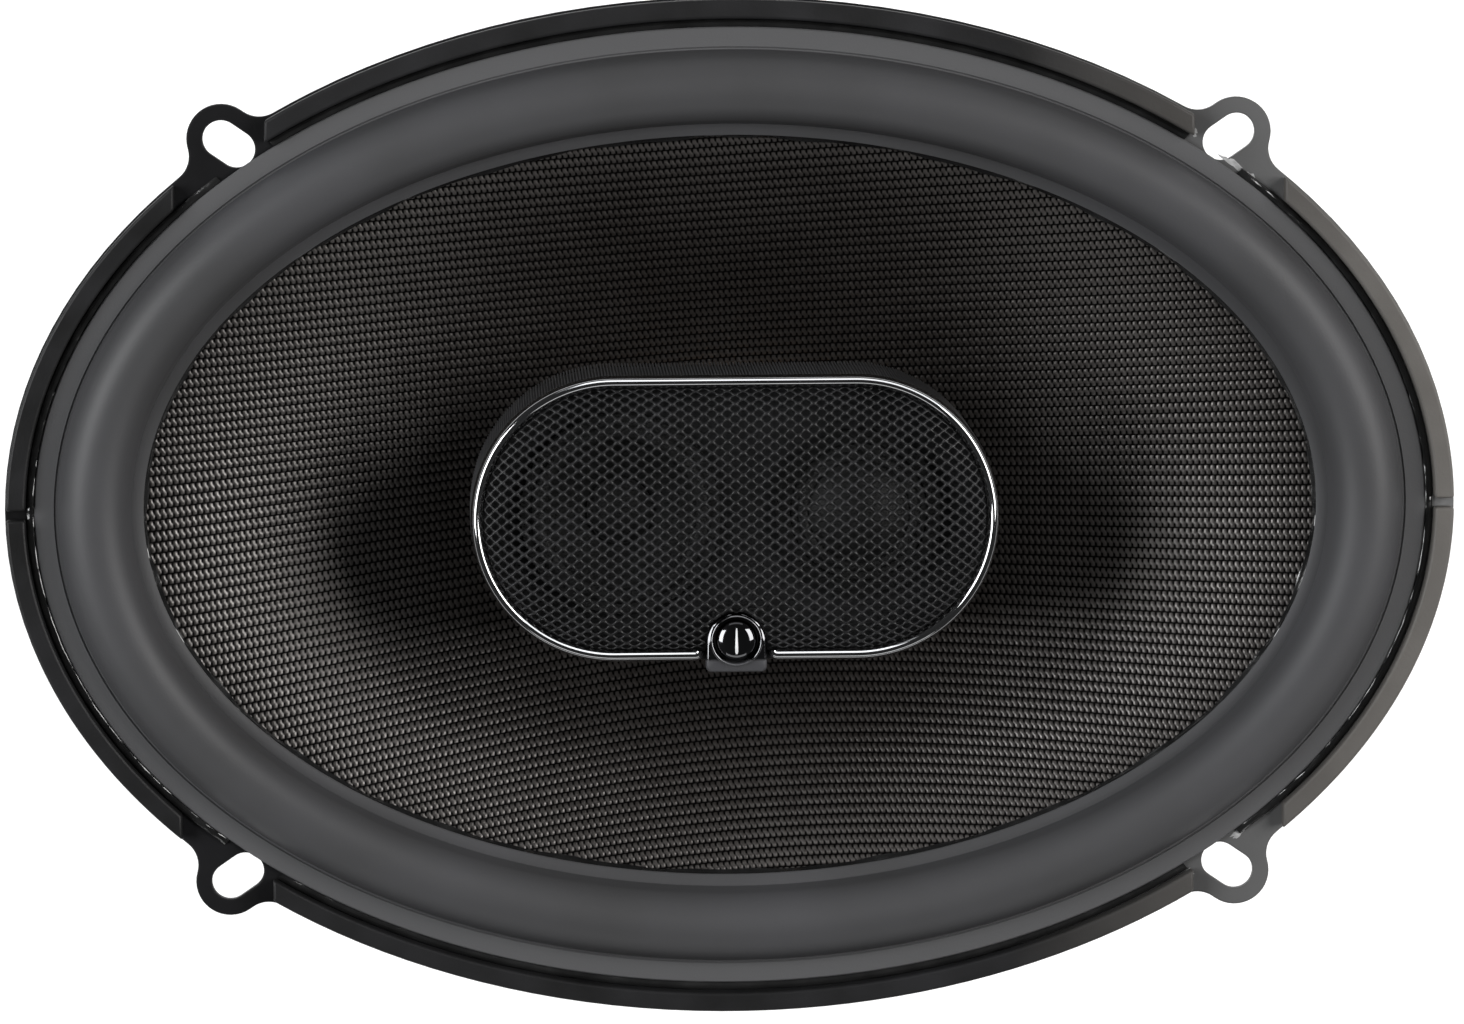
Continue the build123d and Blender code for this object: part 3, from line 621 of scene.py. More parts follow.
def bead_outline(turn):
    swell = 0.30 + 0.09 * math.sin(41 * turn) + 0.08 * math.sin(97 * turn + 2.0) + 0.05 * math.sin(211 * turn)
    for place, size in bead_blobs:
        swell += size * 0.55 * math.exp(-((turn - place) / 0.012) ** 2)
    gap = min(abs(turn - slot) for slot in slot_turns)
    ends = min(1.0, max(0.05, (gap - slot_clear) / 0.02))
    swell = max(0.08, swell) * ends
    width = (bead_inner - bead_outer) / 2
    middle = (bead_inner + bead_outer) / 2
    line = [(middle - width, flange_top)]
    for step in range(1, 6):
        lift = math.pi * step / 6
        line.append((middle - width * math.cos(lift), flange_top + 0.15 + (swell + 0.25) * math.sin(lift)))
    return line + [(middle + width, flange_top)]


def joined(name, meshes):
    """One mesh out of several."""
    work = bmesh.new()
    for mesh in meshes:
        work.from_mesh(mesh)
    made = bpy.data.meshes.new(name)
    work.to_mesh(made)
    work.free()
    return settle(made)


bead_runs = [oval_sweep("bead_run", lambda turn: bead_outline(turn % (2 * math.pi)), 170,
                        (here + slot_clear, there - slot_clear))
             for here, there in zip(slot_turns, slot_turns[1:] + [slot_turn + 2 * math.pi])]
show("bead_of_glue", joined("bead_of_glue", bead_runs), glue_black,
     stands_for=["adhesive_bead"])

# ---- thin smears of dried grey cement where the strips were set by hand beside the two right ears
cement = finish("dried_cement", (grey(0.16), grey(0.34)), (0.5, 0.7), depth=0.00008, wander=900.0)
smears = [(73.4, 62.2, 1.5, 0.7, 140.0), (75.3, 60.6, 0.8, 0.5, 120.0), (81.8, 55.3, 2.4, 0.5, 143.0),
          (84.3, 53.4, 0.9, 0.6, 150.0), (74.2, -61.6, 1.6, 0.6, 40.0), (83.0, -54.4, 1.7, 0.5, 37.0)]


def smear(x, y, length, width, heading):
    """Flat patch with a ragged outline, a twentieth of a millimetre thick."""
    lean = math.radians(heading)
    loops = []
    for z, size in ((flange_top - 0.01, 1.0), (flange_top + 0.05, 0.9)):
        loop = []
        for k in range(22):
            turn = 2 * math.pi * k / 22
            ragged = size * (1 + 0.28 * math.sin(3 * turn + x) + 0.16 * math.sin(7 * turn + y))
            along, across = length * ragged * math.cos(turn), width * ragged * math.sin(turn)
            loop.append((x + along * math.cos(lean) - across * math.sin(lean),
                         y + along * math.sin(lean) + across * math.cos(lean), z))
        loops.append(loop)
    return skin("smear", loops, ring=False)


show("cement_smears", joined("cement_smears", [smear(*one) for one in smears]), cement)

# ================================================================ pressed ribs of the basket
# A rounded rib is pressed outwards along each spoke of the skirt, to stiffen it between the windows.
window_count = 14
skirt_high = (103.0, 69.3, -10.5)
skirt_low = (54.0, 54.0, -37.0)
rib_half = 2.0
rib_proud = 0.9


def polar_radius(a, b, heading):
    return a * b / math.hypot(b * math.cos(heading), a * math.sin(heading))


def spoke_rib(turn):
    heading = math.atan2(60.0 * math.sin(turn), 79.0 * math.cos(turn))
    out = Vector((math.cos(heading), math.sin(heading), 0))
    side = Vector((-math.sin(heading), math.cos(heading), 0))
    loops = []
    for step in range(13):
        share = step / 12
        a, b, z = (high + (low - high) * (0.08 + 0.84 * share) for high, low in zip(skirt_high, skirt_low))
        taper = math.sin(math.pi * min(1.0, max(0.04, min(share, 1 - share) * 3.4)) / 2)
        middle = out * polar_radius(a, b, heading)
        section = []
        for k in range(9):
            lean = math.pi * k / 8
            proud = (rib_proud * math.sin(lean) * taper) - 0.35
            beside = rib_half * math.cos(lean) * (0.6 + 0.4 * taper)
            level = Vector((0, 0, z - 0.5 * math.sin(lean)))
            section.append(tuple(middle + side * beside + out * proud + level))
        loops.append(section)
    return skin("spoke_rib", loops, ring=False)


rib_meshes = [spoke_rib(2 * math.pi * (k + 0.5) / window_count) for k in range(window_count)]
show("basket_spoke_ribs", joined("basket_spoke_ribs", rib_meshes), black_coat)

# ================================================================ magnet motor
# Two zinc plated steel plates hold a ferrite ring between them; a rubber boot is pulled over the ring
# and the back plate. Six riveted studs hold the front plate to the floor of the basket.
zinc = finish("zinc_plate", ((0.50, 0.49, 0.44, 1), (0.62, 0.62, 0.60, 1)), (0.28, 0.44), grain=500.0,
              depth=0.00002, wander=90.0, metallic=1.0, edge=0.0004, stretch=(1, 1, 6))
ferrite = finish("ferrite", (grey(0.030), grey(0.060, 0.002)), (0.45, 0.65), grain=260.0, depth=0.00012,
                 wander=120.0, edge=0.0005)
boot_rubber = finish("boot_rubber", (grey(0.012), grey(0.022)), (0.48, 0.66), grain=1400.0, depth=0.00004,
                     wander=40.0, sheen=0.2)
rivet_steel = finish("rivet_steel", (grey(0.42), grey(0.58, 0.01)), (0.30, 0.45), grain=900.0, depth=0.00002,
                     wander=300.0, metallic=1.0, edge=0.0002)
dress(zinc, "top_plate", "pole_yoke", "post_nut_rear", "post_nut_front")
dress(ferrite, "ring_magnet")
dress(rivet_steel, "basket_rivets")
soften(show("boot_cup", merged_copy("magnet_boot", "boot_cup"), boot_rubber,
            stands_for=["magnet_boot"]), 0.6, 3)


def output_of(tree, geometry, material):
    """Every tree ends here: real geometry, in its finish."""
    real = put(tree, "GeometryNodeRealizeInstances", {0: geometry}).outputs[0]
    dressed = put(tree, "GeometryNodeSetMaterial", {0: real, "Material": material}).outputs[0]
    put(tree, "NodeGroupOutput", {0: dressed})


def new_tree(name, **inputs):
    """Empty node tree with named inputs; each is given as its socket's kind."""
    tree = bpy.data.node_groups.new(name, "GeometryNodeTree")
    tree.interface.new_socket("Geometry", in_out="INPUT", socket_type="NodeSocketGeometry")
    for label, kind in inputs.items():
        tree.interface.new_socket(label, in_out="INPUT", socket_type="NodeSocket" + kind)
    tree.interface.new_socket("Geometry", in_out="OUTPUT", socket_type="NodeSocketGeometry")
    return tree, put(tree, "NodeGroupInput").outputs


def grown(name, tree, start, **values):
    """Plain mesh that a tree makes from a starting mesh, with its named inputs set."""
    holder = bpy.data.objects.new(name, start)
    scene.collection.objects.link(holder)
    modifier = holder.modifiers.new(name, "NODES")
    modifier.node_group = tree
    for item in tree.interface.items_tree:
        if item.in_out == "INPUT" and item.name in values:
            modifier[item.identifier] = values[item.name]
    ready = holder.evaluated_get(bpy.context.evaluated_depsgraph_get())
    mesh = bpy.data.meshes.new_from_object(ready)
    mesh.name = name
    holder.modifiers.remove(modifier)
    bpy.data.objects.remove(holder)
    return mesh


def loose_object(name, mesh):
    """Pattern for a tree to repeat; it is taken out of the scene once it has been used."""
    pattern = bpy.data.objects.new(name, mesh)
    scene.collection.objects.link(pattern)
    return pattern


def set_out_tree(name, material):
    """Repeats a pattern along a closed line, at equal steps, its X along the line and its Z up."""
    tree, given = new_tree(name, Pattern="Object", Count="Int")
    line = put(tree, "GeometryNodeMeshToCurve", {0: given["Geometry"]}).outputs[0]
    spots = put(tree, "GeometryNodeCurveToPoints", {0: line, "Count": given["Count"]}, mode="COUNT").outputs
    facing = put(tree, "FunctionNodeAlignRotationToVector", {"Vector": spots["Tangent"]}, axis="X",
                 pivot_axis="Z")
    shape = put(tree, "GeometryNodeObjectInfo", {"Object": given["Pattern"]}).outputs["Geometry"]
    set_out = put(tree, "GeometryNodeInstanceOnPoints", {"Points": spots["Points"], "Instance": shape,
                                                         "Rotation": facing.outputs[0]}).outputs[0]
    output_of(tree, set_out, material)
    return tree


def closed_line(name, points):
    mesh = bpy.data.meshes.new(name)
    edges = [(k, (k + 1) % len(points)) for k in range(len(points))]
    mesh.from_pydata([Vector(point) * millimetre for point in points], edges, [])
    return mesh


def set_out(name, material, path, pattern_mesh, count):
    """Mesh of a pattern repeated along a closed path of points in millimetres."""
    pattern = loose_object(name + "_pattern", pattern_mesh)
    mesh = grown(name, set_out_tree(name, material), closed_line(name, path), Pattern=pattern, Count=count)
    bpy.data.objects.remove(pattern)
    return settle(mesh)


def rib_pattern(name, half, proud, low, high, sink=0.15):
    """Upright half-round rib whose back is sunk into the wall behind it; it stands out towards -Y."""
    loops = []
    for z, size in ((low, 0.5), (low + 0.5, 1.0), (high - 0.5, 1.0), (high, 0.5)):
        line = [(half * size, sink)]
        for lean in (math.pi * k / 4 for k in range(5)):
            line.append((half * size * math.cos(lean), -proud * size * math.sin(lean)))
        line.append((-half * size, sink))
        loops.append([(x, y, z) for x, y in line])
    return skin(name, loops, ring=False, sharp=50.0)


boot_radius = (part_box("magnet_boot")[1].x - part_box("magnet_boot")[0].x) * 500
circle = [(boot_radius * math.cos(2 * math.pi * k / 180), boot_radius * math.sin(2 * math.pi * k / 180), 0)
          for k in range(180)]
boot_ribs = set_out("boot_ribs", boot_rubber, circle, rib_pattern("boot_rib", 0.9, 0.55, -76.0, -58.5), 72)
show("boot_ribs", boot_ribs, boot_rubber)

# ================================================================ terminals
# Nickel-brass blocks in a moulded carrier that closes one window of the skirt. A set screw from below
# clamps the bare wire in its entry, and a flat tab brings the current inside, to the braided leads.
brass = finish("terminal_brass", ((0.62, 0.46, 0.22, 1), (0.72, 0.56, 0.30, 1)), (0.22, 0.36), grain=800.0,
               depth=0.00002, wander=220.0, metallic=1.0, edge=0.0003, stretch=(1, 5, 1))
carrier_plastic = finish("carrier_plastic", (grey(0.014), grey(0.020)), (0.34, 0.46), grain=1600.0,
                         edge=0.0004)
screw_steel = finish("screw_steel", (grey(0.30), grey(0.42, 0.01)), (0.24, 0.36), grain=900.0, depth=0.00002,
                     wander=300.0, metallic=1.0, edge=0.00025)
dress(brass, "terminal_positive", "terminal_negative")
dress(carrier_plastic, "terminal_carrier")
dress(screw_steel, "terminal_screws")

# ================================================================ centre post and its lead
# A turned aluminium tube screwed to the pole carries the pod over the cone, so the pod never moves.
# The pod's twisted pair comes down inside it, along the groove in the back plate and up to the terminals.
turned_aluminium = finish("turned_aluminium", (grey(0.66), grey(0.76, 0.01)), (0.24, 0.34), grain=700.0,
                          depth=0.00002, wander=80.0, metallic=1.0, edge=0.0003, stretch=(1, 1, 14))
dress(turned_aluminium, "centre_post")


def lobed(name, lobes, radius, lobe):
    """Outline of a bundle: round wires side by side round a centre, as a closed curve."""
    outline = bpy.data.curves.new(name, "CURVE")
    spline = outline.splines.new("POLY")
    count = 8 * lobes
    spline.points.add(count - 1)
    for k in range(count):
        turn = 2 * math.pi * k / count
        reach = radius * (1 - lobe * abs(math.sin(lobes * turn / 2)))
        spline.points[k].co = (reach * math.cos(turn), reach * math.sin(turn), 0, 1)
    spline.use_cyclic_u = True
    thing = bpy.data.objects.new(name, outline)
    scene.collection.objects.link(thing)
    return thing


def twisted_lead(name, route, radius, lobes, lobe, turns, detail=24):
    """Mesh of a bundle that follows a smooth line through the route and twists as it goes."""
    curve = bpy.data.curves.new(name, "CURVE")
    curve.dimensions = "3D"
    curve.resolution_u = detail
    spline = curve.splines.new("NURBS")
    spline.points.add(len(route) - 1)
    for k, point in enumerate(route):
        spline.points[k].co = (*[value * millimetre for value in point], 1)
        spline.points[k].tilt = 2 * math.pi * turns * k / (len(route) - 1)
    spline.order_u = 3
    spline.use_endpoint_u = True
    outline = lobed(name + "_outline", lobes, radius * millimetre, lobe)
    curve.bevel_mode = "OBJECT"
    curve.bevel_object = outline
    curve.use_fill_caps = True
    holder = bpy.data.objects.new(name, curve)
    scene.collection.objects.link(holder)
    ready = holder.evaluated_get(bpy.context.evaluated_depsgraph_get())
    mesh = bpy.data.meshes.new_from_object(ready)
    bpy.data.objects.remove(holder)
    bpy.data.objects.remove(outline)
    return settle(mesh, 60.0)


lead_jacket = finish("lead_jacket", (grey(0.014), grey(0.022)), (0.35, 0.5), grain=1200.0, depth=0.00002)
pod_lead_route = [(0, 0, -6.4), (0, 0, -76.9), (0, -53.6, -76.9), (0, -53.6, -58.0), (0, -61.0, -45.5),
                  (0, -61.0, -36.0)]
show("pod_pair", twisted_lead("pod_pair", pod_lead_route, 1.1, 2, 0.45, 26, 60), lead_jacket,
     stands_for=["pod_lead"])

tinsel = finish("tinsel_braid", ((0.55, 0.36, 0.22, 1), (0.72, 0.52, 0.36, 1)), (0.30, 0.5), grain=2400.0,
                depth=0.00010, wander=900.0, metallic=0.9)
for side, node in ((-1, "tinsel_lead_positive"), (1, "tinsel_lead_negative")):
    tinsel_route = [(side * 10.0, -51.7, -30.8), (side * 9.9, -45.9, -31.5), (side * 9.4, -40.0, -32.2),
                    (side * 8.8, -34.1, -30.6), (side * 8.2, -29.3, -27.0)]
    braid = show(f"braid_{'positive' if side < 0 else 'negative'}",
                 twisted_lead(f"braid_{side}", tinsel_route, 0.8, 6, 0.22, 5, 16), tinsel,
                 body=None, stands_for=[node])
    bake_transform(braid, "frame_body", "woofer_body", start=(0, -0.0500, -0.031), end=(0, -0.0300, -0.029))
dress(finish("solder_pad", (grey(0.45), grey(0.6)), (0.25, 0.5), grain=900.0, depth=0.00006, wander=700.0,
             metallic=0.9), "lead_pads")

# ================================================================ spider, voice coil and dust screen
# The spider is phenolic cotton cloth pressed into rings; it keeps the coil in the middle of its gap.
# The coil is copper wire wound on an amber film former, and the annular screen round the post is open cloth.


def turned(name, outline, steps=96, x=0.0, sharp=35.0):
    """Closed solid of (radius, height) points turned about an upright axis, in millimetres."""
    loops = []
    for step in range(steps):
        turn = 2 * math.pi * step / steps
        loops.append([(x + radius * math.cos(turn), radius * math.sin(turn), z) for radius, z in outline])
    return skin(name, loops, True, sharp)


def cloth_finish(name, low, high, threads, depth):
    """Plain woven cloth: two sets of threads that cross, in two tones."""
    material = bpy.data.materials.new(name)
    material.use_nodes = True
    tree = material.node_tree
    shader = tree.nodes["Principled BSDF"]
    place = split(tree, object_place(tree))
    weft = waves(tree, place["X"], threads)
    warp = waves(tree, place["Y"], threads)
    crossing = times_plus(tree, times(tree, weft, warp), 0.5, 0.5)
    colour = mixed(tree, crossing, low, high)
    bump = put(tree, "ShaderNodeBump", {"Strength": 1.0, "Distance": depth, "Height": crossing})
    tree.links.new(colour, shader.inputs["Base Color"])
    tree.links.new(bump.outputs[0], shader.inputs["Normal"])
    shader.inputs["Roughness"].default_value = 0.8
    shader.inputs["Sheen Weight"].default_value = 0.2
    return material


spider_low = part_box("spider")[0].z / millimetre
spider_cloth = cloth_finish("spider_cloth", (0.30, 0.19, 0.07, 1), (0.52, 0.36, 0.16, 1), 900.0, 0.00012)
spider_radii = np.linspace(17.6, 52.0, 121)
corrugation = np.where((spider_radii > 20.5) & (spider_radii < 42.0),
                       1.1 * np.sin((spider_radii - 20.5) * 2 * np.pi / 4.3), 0.0)
spider_line = [(float(r), spider_low + 0.45 + float(c)) for r, c in zip(spider_radii, corrugation)]
spider_outline = spider_line + [(r, z - 0.4) for r, z in spider_line[::-1]]
spider_mesh = turned("spider_rings", spider_outline, 120, sharp=60.0)
spider = show("spider_rings", spider_mesh, spider_cloth, body=None, stands_for=["spider"])
stretch_between(spider, "woofer_body", (0, 0.043, 0), (0, 0.019, 0),
                lambda spots: (42.5 - np.hypot(spots[:, 0], spots[:, 1])) / 22.0)

film = finish("coil_film", ((0.42, 0.20, 0.05, 1), (0.50, 0.26, 0.08, 1)), (0.22, 0.32), grain=600.0,
              depth=0.00001)
copper = finish("copper_wire", ((0.55, 0.22, 0.10, 1), (0.70, 0.32, 0.16, 1)), (0.18, 0.30), grain=900.0,
                depth=0.00001, wander=300.0, metallic=1.0)
black_film = finish("black_film", (grey(0.008), grey(0.014)), (0.30, 0.45), grain=600.0, depth=0.00001)
dress(film, "voice_coil_former")
dress(black_film, "midrange_former", "tweeter_former")


def winding_tree(name, material):
    """One wire wound upwards in a helix."""
    tree, given = new_tree(name, Radius="Float", Height="Float", Turns="Float", Wire="Float")
    winding = {"Resolution": 40, "Rotations": given["Turns"], "Start Radius": given["Radius"],
               "End Radius": given["Radius"], "Height": given["Height"]}
    helix = put(tree, "GeometryNodeCurveSpiral", winding).outputs[0]
    section = put(tree, "GeometryNodeCurvePrimitiveCircle", {"Resolution": 5, "Radius": given["Wire"]})
    wire = put(tree, "GeometryNodeCurveToMesh", {0: helix, 1: section.outputs[0], "Fill Caps": True})
    output_of(tree, wire.outputs[0], material)
    return tree


wire_tree = winding_tree("winding", copper)


def wound(name, node, x, wire, body, layers=1):
    """Coil of wire in the room of its CAD node; the layers lie one over another."""
    low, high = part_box(node)
    outer = (high.x - low.x) / 2
    layer_meshes = []
    for layer in range(layers):
        empty = bpy.data.meshes.new(name)
        turns = math.floor((high.z - low.z) / (2 * wire)) - 1
        mesh = grown(f"{name}_{layer}", wire_tree, empty, Radius=outer - wire * (1 + 1.9 * layer),
                     Height=high.z - low.z - 2 * wire, Turns=float(turns), Wire=wire)
        mesh.transform(Matrix.Translation((x * millimetre, 0, low.z + wire)))
        layer_meshes.append(mesh)
    show(name, joined(name, layer_meshes), copper, body, stands_for=[node])


wound("voice_coil_turns", "voice_coil_winding", 0.0, 0.00021, "woofer_body")
screen_cloth = cloth_finish("screen_cloth", grey(0.010), grey(0.030), 1100.0, 0.00010)
dress(screen_cloth, "dust_screen")

# ================================================================ pod shells
# Two ABS mouldings, gloss black, held together by two screws from below: a flared base on the post, and
# a housing with a shelf inside it for the two small drivers. Its side is finely ribbed in satin.
pod_plastic = finish("pod_plastic", (grey(0.010), grey(0.016, 0.001)), (0.26, 0.36), grain=1200.0,
                     depth=0.00001, edge=0.0003, coat=0.2)
dress(pod_plastic, "pod_base", "pod_housing")
dress(screw_steel, "pod_screws")
pod_half_span = 19.5
pod_low, pod_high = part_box("pod_housing")
pod_radius = pod_high.y / millimetre


def stadium_point(station, radius):
    """Point on an outline round the pod. A station is a centre, a heading and a cut in the radius."""
    x, y, heading, less = station
    return x + (radius - less) * math.cos(heading), y + (radius - less) * math.sin(heading)


def stadium_stations(arc_steps=40, run_steps=12):
    """Stations all round the pod, from the middle of its lower side, through the right end."""
    quarter, half_run = math.pi / 2, run_steps // 2
    right = [(pod_half_span * k / half_run, 0.0, -quarter, 0.0) for k in range(half_run)]
    right += [(pod_half_span, 0.0, -quarter + math.pi * k / arc_steps, 0.0) for k in range(arc_steps)]
    far = [(pod_half_span * (1 - 2 * k / run_steps), 0.0, quarter, 0.0) for k in range(run_steps)]
    left = [(-pod_half_span, 0.0, quarter + math.pi * k / arc_steps, 0.0) for k in range(arc_steps)]
    left += [(pod_half_span * (k / half_run - 1), 0.0, -quarter, 0.0) for k in range(half_run)]
    return right + far + left


pod_path = [(*stadium_point(station, pod_radius), 0.0) for station in stadium_stations()]
rib_satin = finish("rib_satin", (grey(0.040), grey(0.055, 0.003)), (0.35, 0.45), grain=1200.0, depth=0.00001)
pod_rib = rib_pattern("pod_rib", 0.15, 0.22, pod_low.z / millimetre + 0.6, pod_high.z / millimetre - 0.2)
pod_rib_count = 440
show("pod_ribs", set_out("pod_ribs", rib_satin, pod_path, pod_rib, pod_rib_count), rib_satin)

# ================================================================ crossover in the base
# A small air-core coil on a bobbin and two sleeved capacitors stand on the board that closes the base.
board_laminate = finish("board_laminate", ((0.02, 0.10, 0.04, 1), (0.03, 0.14, 0.06, 1)), (0.3, 0.45),
                        grain=1500.0, depth=0.00002)
bobbin_plastic = finish("bobbin_plastic", (grey(0.02), grey(0.03)), (0.4, 0.5), edge=0.0002)
capacitor_sleeve = finish("capacitor_sleeve", ((0.03, 0.05, 0.16, 1), (0.04, 0.07, 0.22, 1)), (0.25, 0.35),
                          edge=0.0003)
dress(board_laminate, "crossover_board")
dress(bobbin_plastic, "inductor_bobbin")
dress(capacitor_sleeve, "crossover_capacitors")
wound("inductor_turns", "inductor_winding", 0.0, 0.00028, "frame_body", 3)

# ================================================================ midrange driver
# Paper cone with a small dust cap, rubber edge, moulded frame and a slug magnet in a steel cup.
frame_plastic = finish("frame_plastic", (grey(0.004), grey(0.007)), (0.45, 0.60), grain=1600.0, depth=0.00002,
                       edge=0.0003, specular=0.2)
nickel = finish("nickel_plate", (grey(0.55), grey(0.65)), (0.2, 0.3), depth=0.00001, metallic=1.0)
paper = finish("paper_pulp", (grey(0.006), grey(0.012)), (0.60, 0.80), grain=1900.0, depth=0.00010,
               wander=420.0, specular=0.2)
dress(frame_plastic, "midrange_frame")
dress(zinc, "midrange_yoke", "midrange_pole_plate")
dress(nickel, "midrange_magnet")
dress(paper, "midrange_cone", "midrange_dust_cap")
mid_x = -18.3
baffle_top = 8.0


def edge_roll(name, inner, outer, lip, base, thickness, x, height):
    """Half-round suspension ring with a flat lip outside it."""
    middle = (inner + outer) / 2
    half = (outer - inner) / 2
    inner_half = half - thickness / 2
    top, under = [], []
    for step in range(11):
        lift = math.pi * step / 10
        risen = base + (height - thickness) * math.sin(lift)
        top.append((middle - half * math.cos(lift), risen + thickness))
        under.append((middle - inner_half * math.cos(lift), risen))
    return turned(name, top + [(lip, base + thickness), (lip, base)] + under[::-1], 72, x, 50.0)


roll_rubber = finish("roll_rubber", (grey(0.010), grey(0.015)), (0.52, 0.62), grain=2600.0, depth=0.00002,
                     wander=300.0, specular=0.2)
mid_ring = edge_roll("midrange_roll", 12.1, 14.6, 16.2, baffle_top + 1.4, 0.3, mid_x, 1.25)
mid_roll = show("midrange_roll", mid_ring, roll_rubber, body=None,
                stands_for=["midrange_surround"])
stretch_between(mid_roll, "midrange_body", (0, 0.0145, 0.01), (0, 0.0125, 0.01),
                lambda spots: (14.5 - np.hypot(spots[:, 0] - mid_x, spots[:, 1])) / 2.2)
wound("midrange_turns", "midrange_winding", mid_x, 0.00012, "midrange_body")

# ================================================================ tweeter
# A soft silk dome, doped until it is slightly tacky, behind a moulded face plate.
silk = finish("doped_silk", (grey(0.006), grey(0.012)), (0.50, 0.65), grain=2600.0, depth=0.00006,
              wander=500.0, specular=0.3)
tweeter_x = 20.3
dress(frame_plastic, "tweeter_faceplate")
dress(zinc, "tweeter_yoke", "tweeter_pole_plate")
dress(nickel, "tweeter_magnet")
dress(silk, "tweeter_dome")
tweeter_ring = edge_roll("tweeter_roll", 8.2, 9.9, 11.0, baffle_top + 1.0, 0.22, tweeter_x, 0.85)
tweeter_roll = show("tweeter_roll", tweeter_ring, silk, body=None,
                    stands_for=["tweeter_surround"])
stretch_between(tweeter_roll, "tweeter_body", (0, 0.0098, 0.01), (0, 0.0083, 0.01),
                lambda spots: (9.8 - np.hypot(spots[:, 0] - tweeter_x, spots[:, 1])) / 1.5)
wound("tweeter_turns", "tweeter_winding", tweeter_x, 0.0001, "tweeter_body")

# ================================================================ grille
# Expanded steel mesh, slit and drawn open into small diamonds, then pressed to a shallow dome and powder
# coated. The strands are rounded by the coat, and the diamonds close up where the edge turns down.
grille_black = finish("grille_black", (grey(0.005), grey(0.009, 0.001)), (0.40, 0.54), grain=1800.0,
                      wander=120.0, specular=0.3)
diamond_long = 2.52
diamond_short = 1.80
opening_share = 0.60
grille_edge_radius = 21.4
grille_edge_z = 16.2
grille_rise = 3.0
grille_flat = 15.0
grille_slack = 23.3
strand_thickness = 0.42
arch_radius = 4.9
arch_y = -19.9


def diamond_cell(name):
    """One mesh opening with half of each strand round it, rounded from its outline to its hole."""
    rim, crest, hole, under = [], [], [], []
    for k in range(8):
        turn = 2 * math.pi * k / 8
        c, s = math.cos(turn), math.sin(turn)
        reach = 1 / (abs(c) + abs(s))
        soft = reach * 0.60 + 0.40 * 0.82
        for ring_points, share, z in ((rim, 1.0, 0.0), (crest, 0.84, -0.04), (hole, opening_share, -0.26),
                                      (under, opening_share + 0.06, -strand_thickness)):
            size = reach if share == 1.0 else soft * share * 1.04
            ring_points.append((diamond_long / 2 * c * size, diamond_short / 2 * s * size, z))
    rings = [rim, crest, hole, under]
    points = [point for one in rings for point in one]
    points += [(x, y, -strand_thickness) for x, y, z in rim]
    faces = []
    for level in range(4):
        for k in range(8):
            n = (k + 1) % 8
            faces.append((level * 8 + k, level * 8 + n, (level + 1) * 8 + n, (level + 1) * 8 + k))
    mesh = bpy.data.meshes.new(name)
    mesh.from_pydata([Vector(point) * millimetre for point in points], [], faces)
    return mesh


def math_chain(tree, value, *steps):
    """Passes a value through one maths operation after another."""
    for operation, other in steps:
        value = combine(tree, operation, value, other)
    return value


